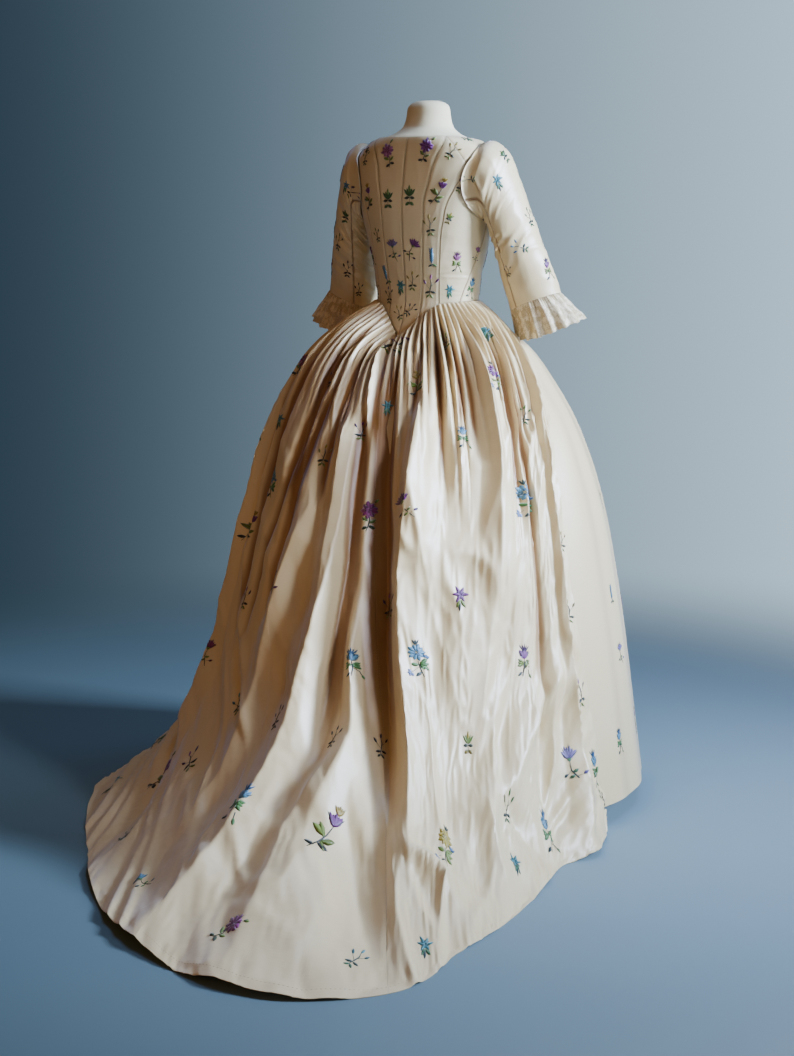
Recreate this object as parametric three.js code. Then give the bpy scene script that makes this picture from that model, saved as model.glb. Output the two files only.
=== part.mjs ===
// English gown (robe a l'anglaise) with its own petticoat, standing on a limbless dress form.
// Millimetres, +Z up. The origin is the middle of the underside of the stand's base. The wearer
// faces -Y, the train runs out to +Y, and the wearer's left is +X. Angles round the body are in
// degrees from the centre back (+Y), growing towards the wearer's left.
import * as THREE from 'three';

// ---- driving sizes -------------------------------------------------------------------------
const SILK = 1.6; // bodice and sleeve wall, silk on its linen backing
const SKIRT_WALL = 2.0; // skirt and petticoat wall
const LACE = 1.2; // cuff ruffle wall
const SEAM_GAP = 0.3; // half the gap between two sewn pieces
const EASE = 2.5; // air between the form and the bodice
const SHOULDER_EASE = 1.6; // more of it where the shoulders round over
const BODICE_OUT = EASE + SILK; // the bodice's outer face, measured from the form
const POLE_RADIUS = 16;
const BASE_RADIUS = 180;
const BASE_HEIGHT = 18;
const FORM_FOOT = 862; // lower edge of the form
const NECK_TOP = 1527;
const WAIST = 1100; // height of the side waist
const WAIST_SPREAD = 115; // the skirt is pleated to the bodice as far as this angle, each side
const PLEATS = 46; // knife pleats, both sides together
const PLEAT_VALLEY = 0.66; // a knife pleat's inner fold lies at this part of its width
const RUFFLE_WAVES = 17;
const FLOOR_CLEAR = 0.4; // the cloth on the floor starts this far above it

// ---- tables --------------------------------------------------------------------------------
// The form's section at each height: half width, depth to the front and back, and squareness.
const formRows = [
  { z: 862, half: 148, front: 99, back: 104, square: 2.2 },
  { z: 940, half: 148, front: 97, back: 107, square: 2.2 },
  { z: 1020, half: 132, front: 90, back: 100, square: 2.2 },
  { z: 1070, half: 117, front: 84, back: 88, square: 2.2 },
  { z: 1100, half: 111, front: 81, back: 84, square: 2.2 },
  { z: 1150, half: 115, front: 88, back: 88, square: 2.3 },
  { z: 1200, half: 124, front: 100, back: 96, square: 2.3 },
  { z: 1250, half: 134, front: 112, back: 103, square: 2.4 },
  { z: 1290, half: 142, front: 116, back: 107, square: 2.5 },
  { z: 1330, half: 148, front: 109, back: 108, square: 2.6 },
  { z: 1370, half: 152, front: 94, back: 107, square: 2.7 },
  { z: 1400, half: 152, front: 80, back: 104, square: 2.7 },
  { z: 1420, half: 140, front: 70, back: 101, square: 2.7 },
  { z: 1435, half: 119, front: 64, back: 98, square: 2.7 },
  { z: 1447, half: 91, front: 59, back: 92, square: 2.7 },
  { z: 1458, half: 68, front: 54, back: 74, square: 2.5 },
  { z: 1472, half: 54, front: 49, back: 56, square: 2.2 },
  { z: 1492, half: 49, front: 46, back: 48, square: 2.0 },
  { z: 1512, half: 46, front: 43, back: 44, square: 2.0 },
  { z: 1522, half: 38, front: 36, back: 36, square: 2.0 },
  { z: 1527, half: 24, front: 22, back: 22, square: 2.0 },
];

// Where the bodice's lower edge lies, by the angle from the back point: it dips to a point at the
// back and a smaller one at the front.
const waistRows = [
  { from: 0, z: 1018 },
  { from: 8, z: 1036 },
  { from: 16, z: 1051 },
  { from: 31, z: 1078 },
  { from: 48, z: 1096 },
  { from: 90, z: WAIST },
  { from: 130, z: 1096 },
  { from: 155, z: 1086 },
  { from: 180, z: 1066 },
];

// The back seams: the centre back seam's angle, and the inner, curved outer and side seams'
// angles from it.
const seamRows = [
  { z: 1018, centre: 11, inner: 14, outer: 50, side: 66 },
  { z: 1060, centre: 9, inner: 23, outer: 49, side: 68 },
  { z: 1100, centre: 7, inner: 25, outer: 48, side: 72 },
  { z: 1170, centre: 6, inner: 26, outer: 46, side: 84 },
  { z: 1243, centre: 5, inner: 26, outer: 45, side: 94 },
  { z: 1280, centre: 4, inner: 26, outer: 46, side: 94 },
  { z: 1305, centre: 4, inner: 26, outer: 48, side: 94 },
  { z: 1357, centre: 2, inner: 30, outer: 56, side: 94 },
  { z: 1395, centre: 1, inner: 34, outer: 60, side: 94 },
  { z: 1445, centre: 0, inner: 47, outer: 60, side: 94 },
];
const NECKLINE = 1445; // height of the back neckline
const FRONT_NECKLINE = 1300; // height of the front neckline
const STRAP_SEAM = 1391; // height of the strap seam's end at the armhole
const FRONT_CORNER = 143; // angle of the front neckline's corner
const ARMHOLE = { angle: 86, z: 1350, back: 31, front: 27, height: 77 };

// The strap over the shoulder, from its back seam to its front one: its edge at the neck and its
// edge at the armhole.
const strapRows = [
  { at: 0, neck: 47, neckZ: NECKLINE, arm: 62, armZ: STRAP_SEAM },
  { at: 0.15, neck: 60, neckZ: 1445, arm: 66, armZ: 1405 },
  { at: 0.3, neck: 75, neckZ: 1443, arm: 76, armZ: 1419 },
  { at: 0.45, neck: 90, neckZ: 1441, arm: 87, armZ: 1422 },
  { at: 0.58, neck: 106, neckZ: 1435, arm: 98, armZ: 1416 },
  { at: 0.72, neck: 122, neckZ: 1418, arm: 107, armZ: 1397 },
  { at: 0.86, neck: 136, neckZ: 1376, arm: 112, armZ: 1366 },
  { at: 1, neck: FRONT_CORNER, neckZ: 1306, arm: 113, armZ: 1340 },
];

// The top edge of the front, from the side seam up the armhole, along the strap's seam and along
// the low square neckline to the centre front.
const frontTopRows = [
  { at: 0, angle: 97, z: 1276 },
  { at: 0.14, angle: 105, z: 1292 },
  { at: 0.26, angle: 111, z: 1314 },
  { at: 0.36, angle: 113.4, z: 1339 },
  { at: 0.62, angle: FRONT_CORNER, z: 1305 },
  { at: 0.81, angle: 161, z: 1301 },
  { at: 1, angle: 180, z: FRONT_NECKLINE },
];

// The sleeve's rings from the armhole to the cuff: the underarm point, the outer point, the
// middle's place front to back, and the half depth.
const sleeveRows = [
  { at: 0, inX: 141, inZ: 1274, outX: 126, outZ: 1432, y: 10, deep: 66 },
  { at: 0.1, inX: 146, inZ: 1270, outX: 156, outZ: 1441, y: 9, deep: 68 },
  { at: 0.22, inX: 149, inZ: 1264, outX: 186, outZ: 1422, y: 5, deep: 66 },
  { at: 0.36, inX: 151, inZ: 1251, outX: 207, outZ: 1369, y: -4, deep: 61 },
  { at: 0.52, inX: 154, inZ: 1222, outX: 227, outZ: 1306, y: -17, deep: 58 },
  { at: 0.68, inX: 158, inZ: 1180, outX: 246, outZ: 1242, y: -34, deep: 56 },
  { at: 0.84, inX: 164, inZ: 1130, outX: 265, outZ: 1180, y: -52, deep: 54 },
  { at: 1, inX: 172, inZ: 1076, outX: 283, outZ: 1118, y: -70, deep: 52 },
];

// The skirt from waist to hem: where it is a plain bell over the petticoat, and where the train
// is longest.
const skirtRows = [
  { row: 0, bell: 112, bellZ: 1100, train: 112, trainZ: 1100 },
  { row: 1, bell: 140, bellZ: 1076, train: 138, trainZ: 1072 },
  { row: 2, bell: 175, bellZ: 1044, train: 170, trainZ: 1038 },
  { row: 3, bell: 232, bellZ: 993, train: 222, trainZ: 985 },
  { row: 4, bell: 286, bellZ: 916, train: 275, trainZ: 908 },
  { row: 5, bell: 330, bellZ: 838, train: 322, trainZ: 828 },
  { row: 6, bell: 374, bellZ: 728, train: 370, trainZ: 718 },
  { row: 7, bell: 405, bellZ: 616, train: 412, trainZ: 602 },
  { row: 8, bell: 430, bellZ: 482, train: 462, trainZ: 462 },
  { row: 9, bell: 448, bellZ: 370, train: 520, trainZ: 340 },
  { row: 10, bell: 463, bellZ: 265, train: 615, trainZ: 225 },
  { row: 11, bell: 476, bellZ: 170, train: 755, trainZ: 120 },
  { row: 12, bell: 488, bellZ: 82, train: 935, trainZ: 45 },
  { row: 13, bell: 500, bellZ: 3, train: 1180, trainZ: 3 },
];
const SKIRT_ROWS = 13;
const BELL_HEM = 500; // hem radius of a skirt without a train
const TRAIN_HEM = 1180; // hem radius that the train column of the table is for
const PETTICOAT_END = 12.52; // the petticoat stops at this row, 40 mm above the floor
const WAIST_REACH = 5; // the waist's own outline has faded out of the skirt at this row
const HIP = { out: 30, angle: 60, wide: 27, full: 3.5, end: 7 }; // the skirt's swell at the hip
const KEPT_PLEATS = { across: -0.14, wide: 0.1, deep: 3 }; // pleats that run on below the point
const FOLD_END = 0.15; // a fold fades out over this part of its length beyond each end

// The gown's hem as it lies on the floor, from one front edge (-1) round the back to the other.
const hemRows = [
  { across: -1, angle: -76, radius: 505 },
  { across: -0.86, angle: -66, radius: 570 },
  { across: -0.8, angle: -61, radius: 608 },
  { across: -0.72, angle: -54, radius: 620 },
  { across: -0.6, angle: -47, radius: 695 },
  { across: -0.46, angle: -41, radius: 798 },
  { across: -0.33, angle: -35, radius: 910 },
  { across: -0.2, angle: -30, radius: 1015 },
  { across: -0.09, angle: -27, radius: 1121 },
  { across: 0, angle: -24, radius: 1180 },
  { across: 0.1, angle: -16, radius: 1230 },
  { across: 0.2, angle: -8, radius: 1194 },
  { across: 0.3, angle: 0, radius: 1118 },
  { across: 0.38, angle: 7, radius: 1045 },
  { across: 0.46, angle: 14, radius: 968 },
  { across: 0.52, angle: 20, radius: 910 },
  { across: 0.6, angle: 28, radius: 847 },
  { across: 0.7, angle: 39, radius: 797 },
  { across: 0.78, angle: 51, radius: 768 },
  { across: 0.86, angle: 62, radius: 745 },
  { across: 0.92, angle: 69, radius: 690 },
  { across: 1, angle: 78, radius: 600 },
];

// How far the skirt's columns have swung from their waist angle to their hem angle, by row: for
// the middle of the back, and for the two front edges, which sweep back early.
const swingRows = [
  { row: 0, middle: 0, edge: 0 },
  { row: 2, middle: 0.05, edge: 0.28 },
  { row: 3, middle: 0.14, edge: 0.55 },
  { row: 4, middle: 0.22, edge: 0.74 },
  { row: 5, middle: 0.31, edge: 0.92 },
  { row: 6, middle: 0.39, edge: 1.05 },
  { row: 8, middle: 0.56, edge: 1.09 },
  { row: 10, middle: 0.81, edge: 1.03 },
  { row: 13, middle: 1, edge: 1 },
];

// The pleats' depth by row, and the room that the petticoat leaves under a fold.
const pleatRows = [
  { row: 0, deep: 1.5, room: 0.4, spare: 0 },
  { row: 1, deep: 4.5, room: 4, spare: 0 },
  { row: 2, deep: 6.5, room: 9, spare: 0 },
  { row: 3, deep: 6.5, room: 11, spare: 0 },
  { row: 4, deep: 5, room: 12, spare: 0 },
  { row: 5, deep: 2.6, room: 12, spare: 0 },
  { row: 6, deep: 1, room: 12, spare: 2 },
  { row: 7, deep: 0, room: 12, spare: 26 },
  { row: 8, deep: 0, room: 12, spare: 55 },
  { row: 9, deep: 0, room: 12, spare: 70 },
  { row: 13, deep: 0, room: 12, spare: 70 },
];

// The large folds: each runs from one place on the skirt to another (across -1..1, down 0..1
// from waist to hem), bends through a middle place, and stands out or lies in by 'deep' mm.
const folds = [
  { from: [-0.11, 0.24], bend: [-0.11, 0.56], to: [-0.04, 0.86], wide: 0.035, deep: 20 },
  { from: [-0.04, 0.86], bend: [-0.17, 0.92], to: [-0.24, 0.99], wide: 0.035, deep: 20 },
  { from: [0.0, 0.3], bend: [0.04, 0.6], to: [0.05, 0.9], wide: 0.06, deep: -44 },
  { from: [-0.45, 0.18], bend: [-0.45, 0.4], to: [-0.44, 0.58], wide: 0.03, deep: -10 },
  { from: [-0.62, 0.2], bend: [-0.64, 0.36], to: [-0.6, 0.52], wide: 0.03, deep: -9 },
  { from: [-0.78, 0.26], bend: [-0.88, 0.46], to: [-0.8, 0.98], wide: 0.04, deep: 13 },
  { from: [-0.68, 0.3], bend: [-0.74, 0.6], to: [-0.7, 0.9], wide: 0.035, deep: -11 },
  { from: [-0.28, 0.2], bend: [-0.27, 0.4], to: [-0.26, 0.6], wide: 0.03, deep: -9 },
  { from: [0.28, 0.26], bend: [0.31, 0.42], to: [0.4, 0.62], wide: 0.035, deep: -14 },
  { from: [0.46, 0.2], bend: [0.5, 0.4], to: [0.56, 0.66], wide: 0.035, deep: -11 },
  { from: [0.16, 0.2], bend: [0.17, 0.34], to: [0.2, 0.5], wide: 0.03, deep: -9 },
  { from: [0.15, 0.58], bend: [0.27, 0.8], to: [0.33, 1.0], wide: 0.035, deep: 26 },
  { from: [0.06, 0.7], bend: [0.11, 0.8], to: [0.16, 0.9], wide: 0.03, deep: 14 },
  { from: [0.22, 0.72], bend: [0.21, 0.86], to: [0.18, 1.0], wide: 0.03, deep: -16 },
  { from: [0.66, 0.3], bend: [0.7, 0.56], to: [0.72, 0.9], wide: 0.04, deep: 12 },
  { from: [0.82, 0.3], bend: [0.84, 0.6], to: [0.84, 0.95], wide: 0.035, deep: -11 },
  { from: [0.44, 0.66], bend: [0.48, 0.8], to: [0.52, 0.96], wide: 0.04, deep: 12 },
  { from: [-0.5, 0.82], bend: [-0.53, 0.9], to: [-0.58, 0.98], wide: 0.04, deep: -16 },
  { from: [-0.36, 0.84], bend: [-0.38, 0.92], to: [-0.42, 0.99], wide: 0.035, deep: 14 },
];

// ---- materials -----------------------------------------------------------------------------
const cloth = (color, roughness) =>
  new THREE.MeshStandardMaterial({ color, roughness, metalness: 0, side: THREE.DoubleSide });
const silk = cloth(0xded3bd, 0.5);
const lace = cloth(0xe3d3b4, 0.85);
const formCover = cloth(0xe9e2d0, 0.8);
const standMetal = new THREE.MeshStandardMaterial({
  color: 0x8f8c86, roughness: 0.4, metalness: 0.9,
});

// ---- small tools ---------------------------------------------------------------------------
const gown = new THREE.Group();
const rad = THREE.MathUtils.degToRad;
const clamp = THREE.MathUtils.clamp;
const mix = THREE.MathUtils.lerp;
const sideNames = { 1: 'left', '-1': 'right' };

// A smooth curve through one column of a table, which never overshoots its rows.
function read(rows, key, column, at) {
  const x = clamp(at, rows[0][key], rows[rows.length - 1][key]);
  let i = 0;
  while (i < rows.length - 2 && x > rows[i + 1][key]) i += 1;
  const slope = (k) =>
    (rows[k + 1][column] - rows[k][column]) / (rows[k + 1][key] - rows[k][key]);
  const tangent = (k) => {
    if (k === 0) return slope(0);
    if (k === rows.length - 1) return slope(k - 1);
    const before = slope(k - 1);
    const after = slope(k);
    return before * after <= 0 ? 0 : (2 * before * after) / (before + after);
  };
  const step = rows[i + 1][key] - rows[i][key];
  const u = (x - rows[i][key]) / step;
  return (
    (2 * u ** 3 - 3 * u ** 2 + 1) * rows[i][column] +
    (u ** 3 - 2 * u ** 2 + u) * step * tangent(i) +
    (3 * u ** 2 - 2 * u ** 3) * rows[i + 1][column] +
    (u ** 3 - u ** 2) * step * tangent(i + 1)
  );
}

const soft = (x) => {
  const u = clamp(x, 0, 1);
  return u * u * (3 - 2 * u);
};
const bump = (x, wide) => Math.exp(-((x / wide) ** 2));
const radiusOf = (point) => Math.hypot(point.x, point.y);
const spread = (count) => Array.from({ length: count + 1 }, (_, i) => i / count);

function addMesh(name, positions, triangles, material) {
  const corner = (i) => new THREE.Vector3().fromArray(positions, 3 * i);
  let volume = 0;
  for (const [a, b, c] of triangles) volume += corner(a).dot(corner(b).cross(corner(c)));
  const outward = volume > 0 ? triangles : triangles.map(([a, b, c]) => [a, c, b]);
  const geometry = new THREE.BufferGeometry();
  geometry.setAttribute('position', new THREE.Float32BufferAttribute(positions, 3));
  geometry.setIndex(outward.flat());
  const mesh = new THREE.Mesh(geometry, material);
  mesh.name = name;
  gown.add(mesh);
}

// A cloth wall: face(u, v, 0) is a point of its outer face and face(u, v, 1) of its inner one.
// A wall that goes all the way round has no side rims.
function addWall(name, across, down, face, material, round = false) {
  const positions = [];
  const width = across.length;
  const layer = width * down.length;
  for (const inner of [0, 1]) {
    for (const v of down) {
      for (const u of across) positions.push(...face(u, v, inner).toArray());
    }
  }
  const triangles = [];
  const quad = (a, b, c, d) => triangles.push([a, b, c], [a, c, d]);
  const id = (i, j, inner) => inner * layer + j * width + (i % width);
  const columns = round ? width : width - 1;
  for (let i = 0; i < columns; i += 1) {
    for (let j = 0; j < down.length - 1; j += 1) {
      quad(id(i, j, 0), id(i + 1, j, 0), id(i + 1, j + 1, 0), id(i, j + 1, 0));
      quad(id(i, j, 1), id(i, j + 1, 1), id(i + 1, j + 1, 1), id(i + 1, j, 1));
    }
    const end = down.length - 1;
    quad(id(i, 0, 0), id(i, 0, 1), id(i + 1, 0, 1), id(i + 1, 0, 0));
    quad(id(i, end, 0), id(i + 1, end, 0), id(i + 1, end, 1), id(i, end, 1));
  }
  if (!round) {
    const last = width - 1;
    for (let j = 0; j < down.length - 1; j += 1) {
      quad(id(0, j, 0), id(0, j + 1, 0), id(0, j + 1, 1), id(0, j, 1));
      quad(id(last, j, 0), id(last, j, 1), id(last, j + 1, 1), id(last, j + 1, 0));
    }
  }
  addMesh(name, positions, triangles, material);
}

// ---- the form and its stand ----------------------------------------------------------------
// A point of the form's surface at an angle and height.
function onForm(angle, z) {
  const half = read(formRows, 'z', 'half', z);
  const square = read(formRows, 'z', 'square', z);
  const sin = Math.sin(rad(angle));
  const cos = Math.cos(rad(angle));
  const deep = read(formRows, 'z', cos > 0 ? 'back' : 'front', z);
  const r = (Math.abs(sin / half) ** square + Math.abs(cos / deep) ** square) ** (-1 / square);
  return new THREE.Vector3(r * sin, r * cos, z);
}

// The same point moved out along the form's normal: everything worn is made from these.
function offForm(angle, z, out) {
  const round = onForm(angle + 0.5, z).sub(onForm(angle - 0.5, z));
  const up = onForm(angle, z + 1).sub(onForm(angle, z - 1));
  const normal = up.cross(round).normalize();
  return onForm(angle, z).addScaledVector(normal, out);
}

function addForm() {
  const columns = 36;
  const heights = [
    FORM_FOOT, 940, 1020, 1060, 1100, 1150, 1200, 1250, 1290, 1330, 1370, 1390, 1405, 1420, 1430,
    1438, 1447, 1458, 1472, 1492, 1512, 1522, NECK_TOP,
  ];
  const positions = [];
  for (const z of heights) {
    for (let i = 0; i < columns; i += 1) {
      positions.push(...onForm((360 * i) / columns, z).toArray());
    }
  }
  const foot = positions.length / 3;
  positions.push(0, 0, FORM_FOOT, 0, 0, NECK_TOP + 1.5);
  const triangles = [];
  for (let i = 0; i < columns; i += 1) {
    const next = (i + 1) % columns;
    for (let j = 0; j < heights.length - 1; j += 1) {
      const a = j * columns;
      const b = a + columns;
      triangles.push([a + i, b + i, b + next], [a + i, b + next, a + next]);
    }
    const top = (heights.length - 1) * columns;
    triangles.push([foot, i, next], [foot + 1, top + next, top + i]);
  }
  addMesh('form_torso', positions, triangles, formCover);
}

function addLathe(name, profile, segments, material) {
  const points = profile.map(([radius, z]) => new THREE.Vector2(radius, z));
  const geometry = new THREE.LatheGeometry(points, segments);
  const mesh = new THREE.Mesh(geometry, material);
  mesh.rotation.x = Math.PI / 2;
  mesh.name = name;
  gown.add(mesh);
}

function addStand() {
  const top = FORM_FOOT - SEAM_GAP;
  const foot = BASE_HEIGHT + SEAM_GAP;
  const pole = [[0, foot], [POLE_RADIUS, foot], [POLE_RADIUS, top], [0, top]];
  addLathe('stand_pole', pole, 24, standMetal);
  const bevel = 5;
  const base = [
    [0, 0],
    [BASE_RADIUS, 0],
    [BASE_RADIUS, BASE_HEIGHT - bevel],
    [BASE_RADIUS - bevel, BASE_HEIGHT],
    [0, BASE_HEIGHT],
  ];
  addLathe('stand_base', base, 48, standMetal);
}

// ---- bodice --------------------------------------------------------------------------------
// The bodice's lower edge at an angle; its back point leans a little to the wearer's left.
function waistAt(angle) {
  const lean = 10 * Math.max(0, 1 - Math.abs(angle) / 70);
  return read(waistRows, 'from', 'z', Math.abs(angle - lean));
}

// A seam of the back as a line from the waist (v = 0) to its top.
function seamLine(column, side, top) {
  const angleAt = (z) => {
    const centre = read(seamRows, 'z', 'centre', z);
    return column === 'centre' ? centre : centre + side * read(seamRows, 'z', column, z);
  };
  let foot = WAIST;
  for (let i = 0; i < 8; i += 1) foot = waistAt(angleAt(foot));
  return (v) => {
    const z = mix(foot, top, v);
    return [angleAt(z), z];
  };
}

const shoulderLift = (z) => SHOULDER_EASE * soft((z - 1412) / 18);

// A bodice piece between four lines on the form, each a function 0..1 to [angle, height]. It is
// drawn in by half a seam gap all round.
function addPanel(name, left, right, bottom, top, columns, down) {
  const blend = (u, v, k) =>
    (1 - v) * bottom(u)[k] + v * top(u)[k] + (1 - u) * left(v)[k] + u * right(v)[k] -
    (1 - u) * (1 - v) * left(0)[k] - u * (1 - v) * right(0)[k] -
    (1 - u) * v * left(1)[k] - u * v * right(1)[k];
  const wide = offForm(...left(0.5), 0).distanceTo(offForm(...right(0.5), 0));
  const tall = Math.max(
    offForm(...left(0), 0).distanceTo(offForm(...left(1), 0)),
    offForm(...bottom(0.5), 0).distanceTo(offForm(...top(0.5), 0)),
  );
  const inset = 1.35 * SEAM_GAP;
  const face = (u, v, inner) => {
    const uu = mix(inset / wide, 1 - inset / wide, u);
    const vv = mix(inset / tall, 1 - inset / tall, v);
    const z = blend(uu, vv, 1);
    return offForm(blend(uu, vv, 0), z, shoulderLift(z) + (inner ? EASE : BODICE_OUT));
  };
  addWall(name, spread(columns), down, face, silk);
}

const straightLine = (from, to) => (u) => [mix(from[0], to[0], u), mix(from[1], to[1], u)];
const waistLine = (from, to) => (u) => {
  const angle = mix(from[0], to[0], u);
  return [angle, waistAt(angle)];
};
const tableLine = (rows, angle, z, side) => (u) => [
  side * read(rows, 'at', angle, u),
  read(rows, 'at', z, u),
];

// The pieces' rows lie closer together where the shoulders round over.
const bodiceRows = [0, 0.12, 0.25, 0.38, 0.52, 0.65, 0.77, 0.87, 0.93, 0.97, 1];

function addBodiceSide(side) {
  const name = sideNames[side];
  const centre = seamLine('centre', side, NECKLINE);
  const inner = seamLine('inner', side, NECKLINE);
  const outer = seamLine('outer', side, STRAP_SEAM);
  const sideSeam = seamLine('side', side, 1276);
  const frontEdge = straightLine([180 * side, waistAt(180)], [180 * side, FRONT_NECKLINE]);
  addPanel(`bodice_back_centre_${name}`, centre, inner, waistLine(centre(0), inner(0)),
    straightLine(centre(1), inner(1)), 5, bodiceRows);
  addPanel(`bodice_back_side_${name}`, inner, outer, waistLine(inner(0), outer(0)),
    straightLine(inner(1), outer(1)), 5, bodiceRows);
  const tuck = 3; // the armhole's edge lies this many degrees inside the sleeve head
  const strapTurn = 57; // where the strap's seam meets the armhole, round from its top
  const underArm = (u) => {
    const turn = rad(mix(strapTurn, 180, u));
    const angle = side * (ARMHOLE.angle - (ARMHOLE.back - tuck) * Math.sin(turn));
    const z = ARMHOLE.z + (ARMHOLE.height - tuck) * Math.cos(turn);
    const [start, startZ] = outer(1);
    const [end, endZ] = sideSeam(1);
    const first = rad(strapTurn);
    const shiftStart = start - side * (ARMHOLE.angle - (ARMHOLE.back - tuck) * Math.sin(first));
    const dropStart = startZ - ARMHOLE.z - (ARMHOLE.height - tuck) * Math.cos(first);
    const shiftEnd = end - side * ARMHOLE.angle;
    const dropEnd = endZ - ARMHOLE.z + ARMHOLE.height - tuck;
    return [angle + mix(shiftStart, shiftEnd, u), z + mix(dropStart, dropEnd, u)];
  };
  addPanel(`bodice_side_${name}`, outer, sideSeam, waistLine(outer(0), sideSeam(0)), underArm, 5,
    bodiceRows);
  const drawnTop = tableLine(frontTopRows, 'angle', 'z', side);
  const frontTop = (u) => {
    const [angle, z] = drawnTop(u);
    return [angle + (sideSeam(1)[0] - drawnTop(0)[0]) * (1 - soft(u / 0.3)), z];
  };
  addPanel(`bodice_front_${name}`, sideSeam, frontEdge, waistLine(sideSeam(0), frontEdge(0)),
    frontTop, 11, bodiceRows);
  const drawnArm = tableLine(strapRows, 'arm', 'armZ', side);
  const armEdge = (v) => {
    const [angle, z] = drawnArm(v);
    return [angle + (outer(1)[0] - drawnArm(0)[0]) * (1 - soft(v / 0.3)), z];
  };
  const neckEdge = tableLine(strapRows, 'neck', 'neckZ', side);
  addPanel(`shoulder_strap_${name}`, neckEdge, armEdge, straightLine(neckEdge(0), armEdge(0)),
    straightLine(neckEdge(1), armEdge(1)), 5, spread(12));
}

// ---- sleeves and cuff ruffles --------------------------------------------------------------
const SLEEVE_BACK_SEAM = 118; // angle of the elbow seam round the sleeve, from its outer side
const SLEEVE_FRONT_SEAM = -100; // angle of the inner arm seam
const HEAD_OUT = BODICE_OUT + 5; // the sleeve head's outer face, measured from the form

// A point of the sleeve: turn is in degrees from its outer side, growing towards the back.
function onSleeve(side, turn, along, inward) {
  const get = (column) => read(sleeveRows, 'at', column, along);
  const cos = Math.cos(rad(turn));
  const sin = Math.sin(rad(turn));
  const inX = get('inX');
  const inZ = get('inZ');
  const outX = get('outX');
  const outZ = get('outZ');
  const half = Math.hypot(outX - inX, outZ - inZ) / 2;
  const reach = (half - inward) / half;
  const x = mix(inX, outX, 0.5 + 0.5 * reach * cos);
  const z = mix(inZ, outZ, 0.5 + 0.5 * reach * cos);
  const y = get('y') + (get('deep') - inward) * sin;
  const free = new THREE.Vector3(side * x, y, z);
  const angle = ARMHOLE.angle - (sin > 0 ? ARMHOLE.back : ARMHOLE.front) * sin;
  const height = ARMHOLE.z + ARMHOLE.height * cos;
  const seated = offForm(side * angle, height, HEAD_OUT + shoulderLift(height) - inward);
  return seated.lerp(free, soft(along / 0.1));
}

const cuffAxis = (side) => new THREE.Vector3(side * 0.3, -0.26, -0.92).normalize();

// A point of the ruffle, which hangs from the sleeve's end in waves that grow towards its edge.
function onRuffle(side, turn, down, inward) {
  const outer = 0.5 + 0.5 * Math.cos(rad(turn));
  const back = 0.5 + 0.5 * Math.sin(rad(turn));
  const nearSkirt = bump(turn - 172, 52); // shorter and closer where the skirt's hip is
  const long = 68 + 12 * Math.sin(rad(turn)) - 28 * nearSkirt;
  const flare = (2 + 24 * outer + 10 * back - 3 * nearSkirt) * down;
  const wave = Math.cos(rad(turn * RUFFLE_WAVES)) * mix(0.6, 6.5 - 3 * nearSkirt, down);
  const scallop = down * 4 * Math.cos(rad(turn * RUFFLE_WAVES));
  const start = onSleeve(side, turn, 1, 0);
  const middle = onSleeve(side, 0, 1, 0).add(onSleeve(side, 180, 1, 0)).multiplyScalar(0.5);
  const outward = start.clone().sub(middle).normalize();
  const axis = cuffAxis(side);
  return start
    .addScaledVector(axis, 2 * SEAM_GAP + long * down + scallop)
    .addScaledVector(outward, flare + wave - inward - 0.6);
}

function addSleeve(side) {
  const name = sideNames[side];
  const along = [0, 0.05, 0.1, 0.22, 0.36, 0.52, 0.68, 0.84, 1];
  const gap = 0.45; // degrees of turn at each sleeve seam
  const upper = (u, v, inner) =>
    onSleeve(side, mix(SLEEVE_FRONT_SEAM + gap, SLEEVE_BACK_SEAM - gap, u), v, inner * SILK);
  const under = (u, v, inner) =>
    onSleeve(side, mix(SLEEVE_BACK_SEAM + gap, SLEEVE_FRONT_SEAM + 360 - gap, u), v, inner * SILK);
  addWall(`sleeve_upper_${name}`, spread(15), along, upper, silk);
  addWall(`sleeve_under_${name}`, spread(8), along, under, silk);
  const turns = spread(RUFFLE_WAVES * 4).slice(0, -1).map((u) => 360 * u);
  const ruffle = (turn, down, inner) => onRuffle(side, turn, down, inner * LACE);
  addWall(`cuff_ruffle_${name}`, turns, spread(3), ruffle, lace, true);
}

// ---- skirt ---------------------------------------------------------------------------------
const PETTICOAT_OUT = 2.1; // the petticoat's top, measured from the form to its inner face
const SKIRT_OUT = PETTICOAT_OUT + 2 * SKIRT_WALL + 2.2; // the gown skirt's top, to its outer face

const waistFade = (row) => clamp(1 - row / WAIST_REACH, 0, 1) ** 1.3;
const trainShare = (across) =>
  (read(hemRows, 'across', 'radius', across) - BELL_HEM) / (TRAIN_HEM - BELL_HEM);

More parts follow.
